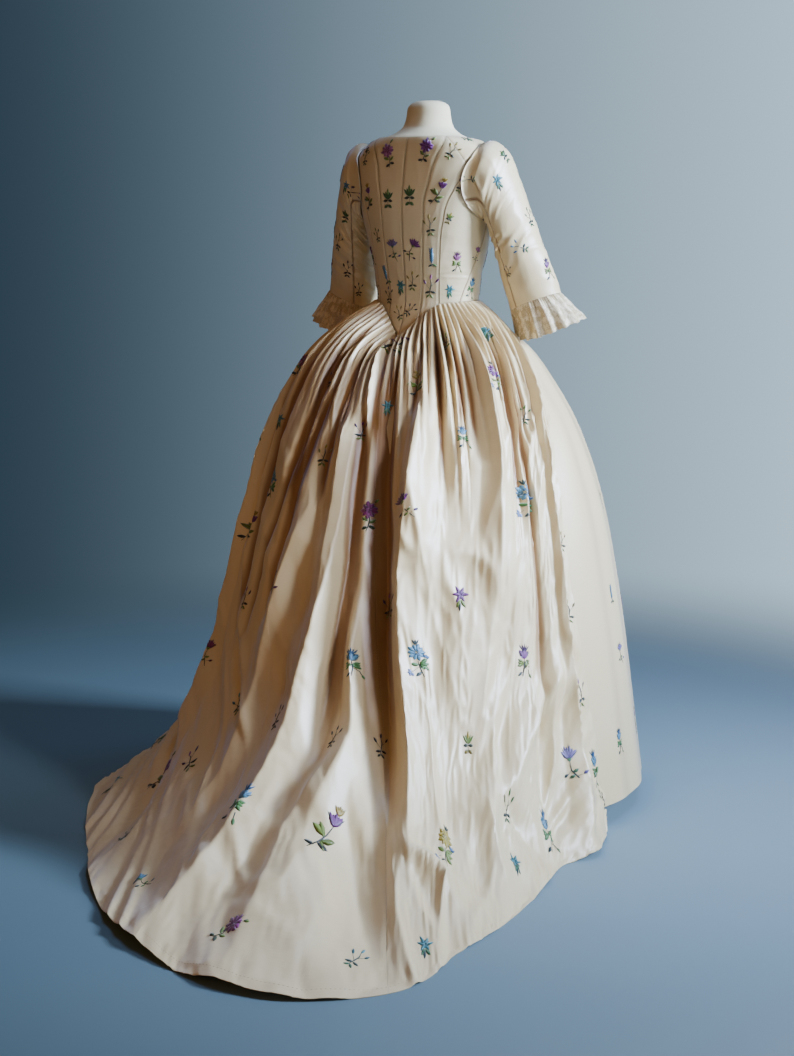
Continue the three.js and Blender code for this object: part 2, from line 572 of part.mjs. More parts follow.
// The smooth skirt without pleats: across runs -1..1 between the front edges, row 0..13 from
// waist to hem.
function smoothSkirt(across, row) {
  const hemAngle = read(hemRows, 'across', 'angle', across);
  const trained = trainShare(across);
  const waistAngle = across * WAIST_SPREAD;
  const nearEdge = soft((Math.abs(across) - 0.45) / 0.55);
  const swing = mix(
    read(swingRows, 'row', 'middle', row),
    read(swingRows, 'row', 'edge', row),
    nearEdge,
  );
  const angle = mix(waistAngle, hemAngle, swing);
  const fade = waistFade(row);
  const seamZ = waistAt(waistAngle) - 2 * SEAM_GAP;
  const seamRadius = radiusOf(offForm(waistAngle, seamZ, SKIRT_OUT));
  const bell = read(skirtRows, 'row', 'bell', row);
  const train = read(skirtRows, 'row', 'train', row);
  const bellZ = read(skirtRows, 'row', 'bellZ', row);
  const trainZ = read(skirtRows, 'row', 'trainZ', row);
  const swell = soft(row / HIP.full) * soft((HIP.end - row) / HIP.full);
  const hip = HIP.out * swell * bump(angle - HIP.angle, HIP.wide);
  const radius = mix(bell, train, trained) + (seamRadius - skirtRows[0].bell) * fade + hip;
  const z = mix(bellZ, trainZ, clamp(trained, 0, 1)) + (seamZ - WAIST) * fade;
  return new THREE.Vector3(radius * Math.sin(rad(angle)), radius * Math.cos(rad(angle)), z);
}

// How far the pleats and folds stand out from the smooth skirt.
function relief(across, row) {
  const down = row / SKIRT_ROWS;
  const place = ((across + 1) / 2) * PLEATS;
  const pleat = Math.floor(place + 1e-6);
  const part = clamp(place - pleat, 0, 1);
  const crest =
    part < PLEAT_VALLEY
      ? 1 - (2 * part) / PLEAT_VALLEY
      : (2 * part - 1 - PLEAT_VALLEY) / (1 - PLEAT_VALLEY);
  const uneven = 0.8 + 0.35 * Math.sin(pleat * 2.4) * Math.sin(pleat * 1.1 + 1);
  const keptHere = bump(across - KEPT_PLEATS.across, KEPT_PLEATS.wide);
  const kept = KEPT_PLEATS.deep * keptHere * soft((7 - row) / 3);
  const edge = soft((1 - Math.abs(across)) / 0.16); // the front edges hang flat
  let out = crest * uneven * Math.max(read(pleatRows, 'row', 'deep', row), kept);
  for (const fold of folds) {
    const length = fold.to[1] - fold.from[1];
    const u = (down - fold.from[1]) / length;
    if (u < -FOLD_END || u > 1 + FOLD_END) continue;
    const bendAt = (fold.bend[1] - fold.from[1]) / length;
    const c = clamp(u, 0, 1);
    const line = c < bendAt
      ? mix(fold.from[0], fold.bend[0], c / bendAt)
      : mix(fold.bend[0], fold.to[0], (c - bendAt) / (1 - bendAt));
    const endsAtHem = fold.to[1] > 0.97;
    const finish = endsAtHem ? 1 : soft((1 + FOLD_END - u) / 0.4);
    out += fold.deep * soft((u + FOLD_END) / 0.4) * finish * bump(across - line, fold.wide);
  }
  const trained = clamp(trainShare(across), 0, 1);
  const room = read(pleatRows, 'row', 'room', row) + trained * read(pleatRows, 'row', 'spare', row);
  return Math.max(out * edge, -room);
}

function onSkirt(across, row, inner) {
  const e = 0.01;
  const at = smoothSkirt(across, row);
  const side = smoothSkirt(Math.min(across + e, 1), row)
    .sub(smoothSkirt(Math.max(across - e, -1), row));
  const fall = smoothSkirt(across, Math.min(row + 0.1, SKIRT_ROWS))
    .sub(smoothSkirt(across, Math.max(row - 0.1, 0)));
  const normal = side.cross(fall).normalize();
  if (normal.z < 0) normal.negate();
  const flat = soft((row - 11.5) / 1.5); // on the floor, folds stand straight up
  normal.lerp(new THREE.Vector3(0, 0, 1), 0.5 * flat).normalize();
  at.addScaledVector(normal, relief(across, row) - inner * SKIRT_WALL);
  at.z = Math.max(at.z, FLOOR_CLEAR + (1 - inner) * SKIRT_WALL);
  return at;
}

function addSkirt() {
  const columns = [];
  for (let i = 0; i < PLEATS; i += 1) columns.push(i, i + PLEAT_VALLEY);
  columns.push(PLEATS);
  const all = columns.map((place) => (2 * place) / PLEATS - 1);
  const rows = [0, 1, 2, 3, 4, 5, 6, 7, 8, 9, 10, 11, 12, 13];
  const panels = [
    { name: 'skirt_right', first: 0, last: 46 },
    { name: 'skirt_back', first: 46, last: 60 },
    { name: 'skirt_left', first: 60, last: all.length - 1 },
  ];
  for (const { name, first, last } of panels) {
    const own = all.slice(first, last + 1);
    const face = (across, row, inner) => {
      const ends = (across === own[0]) - (across === own[own.length - 1]);
      const open = Math.abs(across) < 1 ? ends : 0;
      const step = 0.005;
      const width = onSkirt(across + step, row, 0).distanceTo(onSkirt(across - step, row, 0));
      return onSkirt(across + (open * 1.2 * SEAM_GAP * 2 * step) / width, row, inner);
    };
    addWall(name, own, rows, face, silk);
  }
}

// ---- petticoat -----------------------------------------------------------------------------
const PETTICOAT_WAVES = 18; // soft waves all round
const GOWN_EDGE_HEM = 76; // angle of the gown's front edges at the hem

// A point of the petticoat: it is drawn in under the gown and hangs in soft waves where it shows.
function onPetticoat(angle, row, inner) {
  const turn = Math.abs(angle);
  const fade = waistFade(row);
  const seamZ = waistAt(angle) - 3 - 14 * bump(angle - 10, 26);
  const top = radiusOf(offForm(angle, seamZ, PETTICOAT_OUT + SKIRT_WALL));
  const plan = 1 - 0.18 * soft((turn - WAIST_SPREAD) / 65) * (1 - fade); // flatter in front
  const swing = read(swingRows, 'row', 'edge', row);
  const gownEdge = mix(WAIST_SPREAD, GOWN_EDGE_HEM, swing);
  const under = gownEdge - turn;
  const wave = 0.5 - 0.5 * Math.cos(rad(angle * PETTICOAT_WAVES));
  const folds = wave * soft(row / 3) * mix(1, 6, soft((-under - 8) / 18));
  const tucked = (6 * soft((under + 12) / 12) + 30 * soft(under / 20)) * soft(row / 2);
  const bell = read(skirtRows, 'row', 'bell', row) * plan;
  const out = bell + (top - skirtRows[0].bell) * fade - tucked - folds - inner * SKIRT_WALL;
  const z = read(skirtRows, 'row', 'bellZ', row) + (seamZ - WAIST) * fade;
  const turned = rad(angle);
  return new THREE.Vector3(
    out * Math.sin(turned),
    out * Math.cos(turned),
    z - inner * SKIRT_WALL * fade,
  );
}

function addPetticoat() {
  const rows = [0, 1, 2, 3, 4, 5, 6, 7, 8, 9, 10.5, PETTICOAT_END];
  const gap = 0.12;
  const seam = 90;
  const back = (u, v, inner) => onPetticoat(mix(-seam + gap, seam - gap, u), v, inner);
  const front = (u, v, inner) => {
    const angle = mix(seam + gap, 360 - seam - gap, u);
    return onPetticoat(angle > 180 ? angle - 360 : angle, v, inner);
  };
  addWall('petticoat_back', spread(18), rows, back, silk);
  addWall('petticoat_front', spread(18), rows, front, silk);
}

addForm();
addStand();
for (const side of [1, -1]) {
  addBodiceSide(side);
  addSleeve(side);
}
addSkirt();
addPetticoat();

export default gown;
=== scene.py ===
# %% [markdown]
# # An English gown on its dress form
# The object is a gown of ivory silk with embroidered sprigs: a close boned bodice with a pointed
# back, elbow sleeves with lace ruffles, and a pleated skirt that runs out into a train. A packed
# model made in CAD gives its frame. This script keeps that frame's places and sizes, and gives
# each piece the folds, seams, embroidery and finish that a rigid frame leaves out.

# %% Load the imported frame
import math

import bmesh
import bpy
import numpy as np
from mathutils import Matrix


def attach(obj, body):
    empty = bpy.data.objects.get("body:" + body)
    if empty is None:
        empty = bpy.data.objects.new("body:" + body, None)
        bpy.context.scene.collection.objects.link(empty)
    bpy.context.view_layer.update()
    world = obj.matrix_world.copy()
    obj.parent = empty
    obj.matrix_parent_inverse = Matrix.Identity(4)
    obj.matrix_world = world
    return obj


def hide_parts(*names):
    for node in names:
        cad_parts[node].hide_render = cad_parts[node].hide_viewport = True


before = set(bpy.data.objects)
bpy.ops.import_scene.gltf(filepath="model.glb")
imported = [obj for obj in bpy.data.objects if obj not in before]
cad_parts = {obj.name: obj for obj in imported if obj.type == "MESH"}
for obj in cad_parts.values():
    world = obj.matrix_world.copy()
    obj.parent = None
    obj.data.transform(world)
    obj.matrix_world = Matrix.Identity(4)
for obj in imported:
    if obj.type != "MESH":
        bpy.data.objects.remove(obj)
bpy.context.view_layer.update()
MM = 0.001
print("frame nodes:", len(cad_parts))

# %% [markdown]
# ## Camera, floor and light
# The gown stands near a window on the viewer's right. A cool key light comes from there, high and
# a little behind the gown, and is aimed at the bodice, so that it fades towards the hem. A weak
# warm light fills the shaded side, a cool one above lights the train, and a small narrow one picks
# out the pleats. The floor melts into a plain backdrop, dark far from the window and light near
# it. One camera looks at the gown's back from a little to its right, at the height of the elbows.

# %% Camera
CAMERA_PLACE = (-1.817, 3.564, 1.250)
CAMERA_TURN = 28.0  # degrees that the camera stands round from straight behind the gown
CAMERA_DIP = 9.37  # degrees that it looks down
LENS_MM, SENSOR_MM = 61.4, 36.0
camera_data = bpy.data.cameras.new("camera")
camera_data.sensor_fit = "VERTICAL"
camera_data.sensor_height = SENSOR_MM
camera_data.lens = LENS_MM
camera = bpy.data.objects.new("camera", camera_data)
bpy.context.collection.objects.link(camera)
camera.location = CAMERA_PLACE
camera.rotation_euler = (math.radians(90 - CAMERA_DIP), 0, math.radians(180 + CAMERA_TURN))
bpy.context.scene.camera = camera


# %% Helpers for colours and nodes
def linear(hex_colour):
    """An sRGB hex colour as linear red, green, blue and 1."""
    parts = [int(hex_colour[i : i + 2], 16) / 255 for i in (1, 3, 5)]
    return tuple(c / 12.92 if c <= 0.04045 else ((c + 0.055) / 1.055) ** 2.4 for c in parts) + (1,)


def add(tree, kind, sockets=None, **settings):
    """Adds a node. A socket's value is a plain value, or (node, output name) to link from."""
    made = tree.nodes.new(kind)
    for key, value in settings.items():
        setattr(made, key, value)
    for key, value in (sockets or {}).items():
        socket = made.inputs[key]
        if isinstance(value, tuple) and isinstance(value[0], bpy.types.Node):
            tree.links.new(value[0].outputs[value[1]], socket)
        else:
            socket.default_value = value
    return made


def ramp(tree, value, first=(0.0, 1.0), last=(0.0, 1.0), **settings):
    """The span first mapped onto the span last. Like the next five, it gives a value to link."""
    spans = {"From Min": first[0], "From Max": first[1], "To Min": last[0], "To Max": last[1]}
    return add(tree, "ShaderNodeMapRange", {"Value": value, **spans}, **settings), "Result"


def blend(tree, factor, first, second):
    """From one colour to another. A colour is a hex text or a value to link."""
    sockets = {"Factor": factor}
    for index, colour in ((6, first), (7, second)):
        sockets[index] = linear(colour) if isinstance(colour, str) else colour
    return add(tree, "ShaderNodeMix", sockets, data_type="RGBA"), 2


def speckle(tree, place, scale, detail, distortion=0.0, **settings):
    """Random hills at a place."""
    sockets = {"Vector": place, "Scale": scale, "Detail": detail, "Distortion": distortion}
    return add(tree, "ShaderNodeTexNoise", sockets, **settings), "Fac"


def tinted(tree, colour, by):
    """A colour times a value."""
    return add(tree, "ShaderNodeVectorMath", {0: colour, 1: by}, operation="MULTIPLY"), "Vector"


def maths(tree, first, second, operation="MULTIPLY"):
    return add(tree, "ShaderNodeMath", {0: first, 1: second}, operation=operation), "Value"


def bump(tree, height, strength, distance, over=None, **settings):
    """Small relief, on top of another bump if one is given."""
    sockets = {"Height": height, "Strength": strength, "Distance": distance}
    if over:
        sockets["Normal"] = over
    return add(tree, "ShaderNodeBump", sockets, **settings), "Normal"


def new_material(name):
    """An empty material and its node tree."""
    material = bpy.data.materials.new(name)
    material.use_nodes = True
    material.node_tree.nodes.clear()
    return material, material.node_tree


def finish_material(tree, sockets):
    surface = add(tree, "ShaderNodeBsdfPrincipled", sockets)
    add(tree, "ShaderNodeOutputMaterial", {"Surface": (surface, "BSDF")})


# %% Floor, world and lights
FLOOR_SIDE = 30.0  # metres
MELT = (1.1, 2.9)  # metres from the stand between which the floor melts into the backdrop
TO_WINDOW = (-0.883, -0.469, 0.0)
IN_VIEW = 0.24  # half the view's width, as a part of its distance
BACKDROP, BACKDROP_STRENGTH = ("#2E404C", "#C8E6FC"), 1.05
# Painted window light: the floor's paint and the backdrop run from a dark tone far from the window
# to a light one near it.
FLOOR_PAINT_AND_WINDOW_LIGHT = ("#52696E", "#91A7AE")
WINDOW_FALL = 1.7  # how quickly light falls off away from the window


def window_side(tree, vector, span, tones):
    """A dark tone far from the window and a light one near it, along a vector's way to it."""
    side = add(tree, "ShaderNodeVectorMath", {0: vector, 1: TO_WINDOW}, operation="DOT_PRODUCT")
    near = maths(tree, ramp(tree, (side, "Value"), span), WINDOW_FALL, "POWER")
    return blend(tree, near, *tones)


floor_mesh = bpy.data.meshes.new("studio_floor")
half = FLOOR_SIDE / 2
floor_mesh.from_pydata(
    [(-half, -half, 0), (half, -half, 0), (half, half, 0), (-half, half, 0)], [], [(0, 1, 2, 3)]
)
floor = bpy.data.objects.new("studio_floor", floor_mesh)
bpy.context.collection.objects.link(floor)
floor_paint_and_window_light, tree = new_material("matt_floor_paint")
place = (add(tree, "ShaderNodeTexCoord"), "Object")
worn = ramp(tree, speckle(tree, place, 1.5, 4.0), last=(0.94, 1.06))
# The floor's paint with painted window light: dark far from the window, light near it.
tone = tinted(tree, window_side(tree, place, (-1.0, 1.1), FLOOR_PAINT_AND_WINDOW_LIGHT), worn)
paint = add(tree, "ShaderNodeBsdfPrincipled", {"Base Color": tone, "Roughness": 0.75})
to_eye = (add(tree, "ShaderNodeNewGeometry"), "Incoming")
# The far floor glows as the backdrop, with the same painted window light.
far_tone = window_side(tree, to_eye, (IN_VIEW, -IN_VIEW), BACKDROP)
far = add(tree, "ShaderNodeVectorMath", {0: place}, operation="LENGTH")
melt = ramp(tree, (far, "Value"), MELT, interpolation_type="SMOOTHSTEP")
glow = add(tree, "ShaderNodeEmission", {"Color": far_tone, "Strength": BACKDROP_STRENGTH})
melted = add(tree, "ShaderNodeMixShader", {0: melt, 1: (paint, "BSDF"), 2: (glow, "Emission")})
add(tree, "ShaderNodeOutputMaterial", {"Surface": (melted, "Shader")})
floor_mesh.materials.append(floor_paint_and_window_light)

world = bpy.data.worlds.new("studio")
world.use_nodes = True
tree = world.node_tree
tree.nodes.clear()
way = (add(tree, "ShaderNodeTexCoord"), "Generated")
# Painted window light on the backdrop that the camera sees.
wall = window_side(tree, way, (-IN_VIEW, IN_VIEW), BACKDROP)
backdrop = add(tree, "ShaderNodeBackground", {"Color": wall, "Strength": BACKDROP_STRENGTH})
room_light = add(tree, "ShaderNodeBackground", {"Color": linear("#C2AC8E"), "Strength": 0.16})
by_camera = (add(tree, "ShaderNodeLightPath"), "Is Camera Ray")
seen = add(
    tree, "ShaderNodeMixShader",
    {0: by_camera, 1: (room_light, "Background"), 2: (backdrop, "Background")},
)  # fmt: skip
add(tree, "ShaderNodeOutputWorld", {"Surface": (seen, "Shader")})
bpy.context.scene.world = world


def soft_light(name, place, aim, size, watts, colour, spread=180):
    """A square area light at a place, turned to look at aim, with its spread in degrees."""
    data = bpy.data.lights.new(name, "AREA")
    data.shape = "SQUARE"
    data.size = size
    data.energy = watts
    data.color = linear(colour)[:3]
    data.spread = math.radians(spread)
    light = bpy.data.objects.new(name, data)
    light.location = place
    away = np.array(aim, float) - np.array(place, float)
    dip = math.atan2(math.hypot(away[0], away[1]), -away[2])
    light.rotation_euler = (dip, 0, math.atan2(-away[0], away[1]))
    bpy.context.collection.objects.link(light)


soft_light("key_light", (-3.75, -0.7, 2.35), (0, 0.3, 1.2), 0.9, 118, "#C2D8FF", spread=64)
soft_light("fill_light", (0.8, 4.4, 1.8), (0, 0.3, 0.7), 2.6, 25, "#FFAE5E")
soft_light("top_light", (-0.8, -1.0, 4.4), (0, 0.5, 0.5), 1.6, 92, "#9AC2FF")
soft_light("pleat_light", (-3.3, 1.3, 2.3), (-0.1, 0.4, 0.78), 0.5, 3.2, "#DCE6FF", spread=26)

# %% [markdown]
# ## Surfaces from small tables
# Clothes are smooth in some places and folded in others, so each piece here is a surface that a
# few rows of sizes describe, read through a smooth curve. The rows are the frame's own, in
# millimetres. Angles go round the body from the centre back, growing to the wearer's left.


# %% Reading a table, and two small curves
def table(names, *rows):
    """The columns of a small table by name. The first column is what the table is read by."""
    columns = dict(zip(names.split(), np.array(rows, float).T))
    columns["key"] = columns[names.split()[0]]
    return columns


def read(rows, column, at):
    """A smooth curve through one column, which never overshoots its rows."""
    x, y = rows["key"], rows[column]
    at = np.clip(at, x[0], x[-1])
    i = np.clip(np.searchsorted(x, at, side="right") - 1, 0, len(x) - 2)
    slope = np.diff(y) / np.diff(x)
    before, after = slope[:-1], slope[1:]
    same = before * after > 0
    bend = np.where(same, 2 * before * after / np.where(same, before + after, 1), 0)
    tangent = np.concatenate([slope[:1], bend, slope[-1:]])
    step = x[i + 1] - x[i]
    u = (at - x[i]) / step
    return (
        (2 * u**3 - 3 * u**2 + 1) * y[i]
        + (u**3 - 2 * u**2 + u) * step * tangent[i]
        + (3 * u**2 - 2 * u**3) * y[i + 1]
        + (u**3 - u**2) * step * tangent[i + 1]
    )


def soft(x):
    """0 to 1 with soft ends."""
    u = np.clip(x, 0, 1)
    return u * u * (3 - 2 * u)


def mix(a, b, t):
    return a + (b - a) * t


def bell(x, wide):
    return np.exp(-((x / wide) ** 2))


def noise(x, y, seed):
    """Smooth random hills of about one unit, -1 to 1, the same on each run."""
    hills = np.random.default_rng(seed).uniform(-1, 1, (61, 67))
    x, y = np.broadcast_arrays(np.asarray(x, float), np.asarray(y, float))
    i, j = np.floor(x).astype(int), np.floor(y).astype(int)
    u, v = soft(x - i), soft(y - j)
    at = lambda a, b: hills[(i + a) % 61, (j + b) % 67]
    return mix(mix(at(0, 0), at(1, 0), u), mix(at(0, 1), at(1, 1), u), v)


def creases(x, y, seed):
    """Sharp-edged crumples, -1 to 1: silk breaks into facets, not into round waves."""
    bent_x = x + 0.6 * noise(x * 0.7, y * 0.7, seed + 1)
    bent_y = y + 0.6 * noise(x * 0.7, y * 0.7, seed + 2)
    return 1 - 2 * np.abs(noise(bent_x, bent_y, seed)) - 0.3


# %% The form's own table, and points on it and off it
FORM_FOOT, NECK_TOP = 862.0, 1527.0
form_rows = table(
    "z half front back square",
    (862, 148, 99, 104, 2.2), (940, 148, 97, 107, 2.2), (1020, 132, 90, 100, 2.2),
    (1070, 117, 84, 88, 2.2), (1100, 111, 81, 84, 2.2), (1150, 115, 88, 88, 2.3),
    (1200, 124, 100, 96, 2.3), (1250, 134, 112, 103, 2.4), (1290, 142, 116, 107, 2.5),
    (1330, 148, 109, 108, 2.6), (1370, 152, 94, 107, 2.7), (1400, 152, 80, 104, 2.7),
    (1420, 140, 70, 101, 2.7), (1435, 119, 64, 98, 2.7), (1447, 91, 59, 92, 2.7),
    (1458, 68, 54, 74, 2.5), (1472, 54, 49, 56, 2.2), (1492, 49, 46, 48, 2.0),
    (1512, 46, 43, 44, 2.0), (1522, 38, 36, 36, 2.0), (1527, 24, 22, 22, 2.0),
)  # fmt: skip


def on_form(angle, z):
    """Points of the form's surface at an angle and a height."""
    angle, z = np.broadcast_arrays(np.asarray(angle, float), np.asarray(z, float))
    sin, cos = np.sin(np.radians(angle)), np.cos(np.radians(angle))
    half_width, square = read(form_rows, "half", z), read(form_rows, "square", z)
    deep = np.where(cos > 0, read(form_rows, "back", z), read(form_rows, "front", z))
    r = (np.abs(sin / half_width) ** square + np.abs(cos / deep) ** square) ** (-1 / square)
    return np.stack([r * sin, r * cos, z], axis=-1)


def unit(v):
    return v / np.maximum(np.linalg.norm(v, axis=-1, keepdims=True), 1e-9)


def off_form(angle, z, out):
    """The same points moved out along the form's normal: everything worn is made from these."""
    angle, z = np.broadcast_arrays(np.asarray(angle, float), np.asarray(z, float))
    around = on_form(angle + 0.5, z) - on_form(angle - 0.5, z)
    up = on_form(angle, z + 1) - on_form(angle, z - 1)
    return on_form(angle, z) + unit(np.cross(up, around)) * np.asarray(out)[..., None]


# %% [markdown]
# ## One way to make a wall of cloth
# Cloth is thin but not without thickness: its edges catch light. So each piece is a closed wall
# from two grids of points, the outer face and the inner one, joined by rims. It gets a UV map in
# metres of cloth, for the weave, and a number at each point that says how deep in a fold or seam
# it lies, which the silk's material turns into painted shade: a darker, warm brown there.


# %% Grids to meshes
SHARP_ANGLE = 70  # degrees between faces from which an edge stays sharp: the rims of the cloth


def make_object(name, points, faces, uv=None, numbers=None, colours=None):
    """A mesh object from points in millimetres and faces as rows of four corners."""
    mesh = bpy.data.meshes.new(name)
    faces = np.asarray(faces)
    mesh.vertices.add(len(points))
    mesh.vertices.foreach_set("co", (np.asarray(points, float) * MM).ravel())
    mesh.loops.add(faces.size)
    mesh.loops.foreach_set("vertex_index", faces.ravel())
    mesh.polygons.add(len(faces))
    mesh.polygons.foreach_set("loop_start", np.arange(len(faces)) * faces.shape[1])
    mesh.polygons.foreach_set("use_smooth", np.ones(len(faces), bool))
    if uv is not None:
        layer = mesh.uv_layers.new(name="cloth")
        layer.data.foreach_set("uv", (np.asarray(uv, float) * MM).ravel())
    for key, values in (numbers or {}).items():
        mesh.attributes.new(key, "FLOAT", "POINT").data.foreach_set("value", np.ravel(values))
    for key, values in (colours or {}).items():
        layer = mesh.attributes.new(key, "FLOAT_COLOR", "POINT")
        layer.data.foreach_set("color", np.ravel(values))
    mesh.update(calc_edges=True)
    mesh.validate()
    made = bpy.data.objects.new(name, mesh)
    bpy.context.collection.objects.link(made)
    return made


def cloth_wall(name, outer, inner, cloth_u, cloth_v, fold, closed=False):
    """A wall from two grids (rows, columns, 3). closed joins the last column to the first."""
    rows, columns = outer.shape[:2]
    points = np.concatenate([outer.reshape(-1, 3), inner.reshape(-1, 3)])
    spans = columns if closed else columns - 1
    i, j = np.meshgrid(np.arange(spans), np.arange(rows - 1))
    i, j = i.ravel(), j.ravel()

    def corner(a, b, layer):
        return layer * rows * columns + b * columns + a % columns, a, b

    def quads(*corners):
        ids = np.stack([c[0] for c in corners], axis=1)
        us = np.stack([cloth_u[np.minimum(c[1], len(cloth_u) - 1)] for c in corners], axis=1)
        vs = np.stack([cloth_v[c[2]] for c in corners], axis=1)
        return ids, np.stack([us, vs], axis=-1)

    def face(*places):
        return quads(*(corner(*at) for at in places))

    parts = [
        face((i, j, 0), (i + 1, j, 0), (i + 1, j + 1, 0), (i, j + 1, 0)),
        face((i, j, 1), (i, j + 1, 1), (i + 1, j + 1, 1), (i + 1, j, 1)),
    ]
    a = np.arange(spans)
    first, last = np.zeros_like(a), np.full_like(a, rows - 1)
    parts.append(face((a, first, 0), (a, first, 1), (a + 1, first, 1), (a + 1, first, 0)))
    parts.append(face((a, last, 0), (a + 1, last, 0), (a + 1, last, 1), (a, last, 1)))
    if not closed:
        b = np.arange(rows - 1)
        near, far = np.zeros_like(b), np.full_like(b, columns - 1)
        parts.append(face((near, b, 0), (near, b + 1, 0), (near, b + 1, 1), (near, b, 1)))
        parts.append(face((far, b, 0), (far, b, 1), (far, b + 1, 1), (far, b + 1, 0)))
    faces = np.concatenate([p[0] for p in parts])
    uv = np.concatenate([p[1] for p in parts])
    p0, p1, p2, p3 = (points[faces[:, k]] for k in range(4))
    volume = np.einsum("ij,ij->i", p0, np.cross(p1, p2) + np.cross(p2, p3)).sum()
    if volume < 0:
        faces, uv = faces[:, ::-1], uv[:, ::-1]
    # The fold number is kept on the mesh for the painted shade in the silk's colour.
    made = make_object(name, points, faces, uv, {"fold": np.tile(np.ravel(fold), 2)})
    made.data.set_sharp_from_angle(angle=math.radians(SHARP_ANGLE))
    across = np.linalg.norm(np.diff(outer, axis=1), axis=-1)
    down = np.linalg.norm(np.diff(outer, axis=0), axis=-1)
    area = (across[:-1] * mix(down[:, :-1], down[:, 1:], 0.5)).sum() * MM * MM
    print(f"{name}: {2 * len(faces)} triangles, outer face about {area:.3f} m2")
    return made


def declare(piece, node=None):
    """What the frame has to know of a piece: its body and the node it stands for."""
    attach(piece, "root")
    if node:
        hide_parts(node)
    return piece


def spread(first, last, count):
    return np.linspace(first, last, count + 1)


# %% [markdown]
# ## The dress form
# The form is a body of padded linen with a short capped neck and no head or arms. Its shape is
# a ring of points at each height, closed at both ends, so a plain grid makes it best.

# %% The form's mesh
FORM_COLUMNS = 144
form_heights = np.concatenate([spread(FORM_FOOT, 1380, 50), spread(1384, NECK_TOP, 56)])
ring = np.arange(FORM_COLUMNS) * 360 / FORM_COLUMNS
rings = on_form(*np.meshgrid(ring, form_heights))
foot = np.repeat(np.array([[[0, 0, FORM_FOOT]]]), FORM_COLUMNS, axis=1)
crown = np.repeat(np.array([[[0, 0, NECK_TOP + 1.5]]]), FORM_COLUMNS, axis=1)
rings = np.concatenate([foot, rings, crown])
i, j = np.meshgrid(np.arange(FORM_COLUMNS), np.arange(len(rings) - 1))
i, j = i.ravel(), j.ravel()
low_left, low_right = j * FORM_COLUMNS + i, j * FORM_COLUMNS + (i + 1) % FORM_COLUMNS
form_faces = np.stack(
    [low_left, low_left + FORM_COLUMNS, low_right + FORM_COLUMNS, low_right], axis=1
)
form_cover = make_object("form_cover", rings.reshape(-1, 3), form_faces[:, ::-1])
bpy.context.view_layer.objects.active = form_cover
merge = form_cover.modifiers.new("merge", "WELD")
merge.merge_threshold = 0.01 * MM
depsgraph = bpy.context.evaluated_depsgraph_get()
form_cover.data = bpy.data.meshes.new_from_object(form_cover.evaluated_get(depsgraph))
form_cover.modifiers.clear()
declare(form_cover, "form_torso")

# %% [markdown]
# ## The bodice
# A bodice of this kind is cut in narrow pieces that curve in to the waist and run to a point at
# the back. Each piece is a patch between four lines drawn on the form: two seams, the waist and
# the top edge. The cloth rolls down a little into each seam, and faint drag lines cross it: level
# at the waist, slanting above.

# %% Sizes and tables of the bodice
SILK, EASE, SHOULDER_EASE, SEAM_GAP = 1.6, 2.5, 1.6, 0.3
BODICE_OUT = EASE + SILK
WAIST = 1100.0
NECKLINE, FRONT_NECKLINE, STRAP_SEAM, FRONT_CORNER = 1445.0, 1300.0, 1391.0, 143.0
SIDE_TOP = 1276.0  # where the side seam meets the armhole
ARM_ANGLE, ARM_Z, ARM_BACK, ARM_FRONT, ARM_HEIGHT = 86.0, 1350.0, 31.0, 27.0, 77.0
waist_rows = table(
    "from z",
    (0, 1018), (8, 1036), (16, 1051), (31, 1078), (48, 1096), (90, WAIST), (130, 1096),
    (155, 1086), (180, 1066),
)  # fmt: skip
seam_rows = table(
    "z centre inner outer side",
    (1018, 11, 14, 50, 66), (1060, 9, 23, 49, 68), (1100, 7, 25, 48, 72), (1170, 6, 26, 46, 84),
    (1243, 5, 26, 45, 94), (1280, 4, 26, 46, 94), (1305, 4, 26, 48, 94), (1357, 2, 30, 56, 94),
    (1395, 1, 34, 60, 94), (1445, 0, 47, 60, 94),
)  # fmt: skip
strap_rows = table(
    "at neck neck_z arm arm_z",
    (0, 47, NECKLINE, 62, STRAP_SEAM), (0.15, 60, 1445, 66, 1405), (0.3, 75, 1443, 76, 1419),
    (0.45, 90, 1441, 87, 1422), (0.58, 106, 1435, 98, 1416), (0.72, 122, 1418, 107, 1397),
    (0.86, 136, 1376, 112, 1366), (1, FRONT_CORNER, 1306, 113, 1340),
)  # fmt: skip
front_top_rows = table(
    "at angle z",
    (0, 97, 1276), (0.14, 105, 1292), (0.26, 111, 1314), (0.36, 113.4, 1339),
    (0.62, FRONT_CORNER, 1305), (0.81, 161, 1301), (1, 180, FRONT_NECKLINE),
)  # fmt: skip


# %% The bodice's lines and its outer face
def waist_at(angle):
    """The bodice's lower edge: its back point leans a little to the wearer's left."""
    lean = 10 * np.maximum(0, 1 - np.abs(angle) / 70)
    return read(waist_rows, "z", np.abs(angle - lean))


def seam_line(column, side, top):
    """A back seam as a line from the waist (0) to its top (1)."""

    def angle_at(z):
        centre = read(seam_rows, "centre", z)
        return centre if column == "centre" else centre + side * read(seam_rows, column, z)

    start = WAIST
    for _ in range(8):
        start = waist_at(angle_at(start))
    return lambda v: (angle_at(mix(start, top, v)), mix(start, top, v))


def shoulder_lift(z):
    return SHOULDER_EASE * soft((z - 1412) / 18)


def bodice_drag(angle, z):
    """Small folds of the fitted silk: level drag lines at the waist, soft hollows above."""
    low = soft((1290 - z) / 140)
    level = creases(angle / 26, z / 9.5, 11) * (0.14 + 0.5 * low)
    slant = creases(angle / 15 + z / 90, z / 34 - angle / 60, 17) * 0.5
    broad = noise(angle / 22, z / 55, 13) * 0.8
    return np.clip(level + slant + broad, -1.0, 1.4)


def on_bodice(angle, z):
    return off_form(angle, z, shoulder_lift(z) + BODICE_OUT + bodice_drag(angle, z))


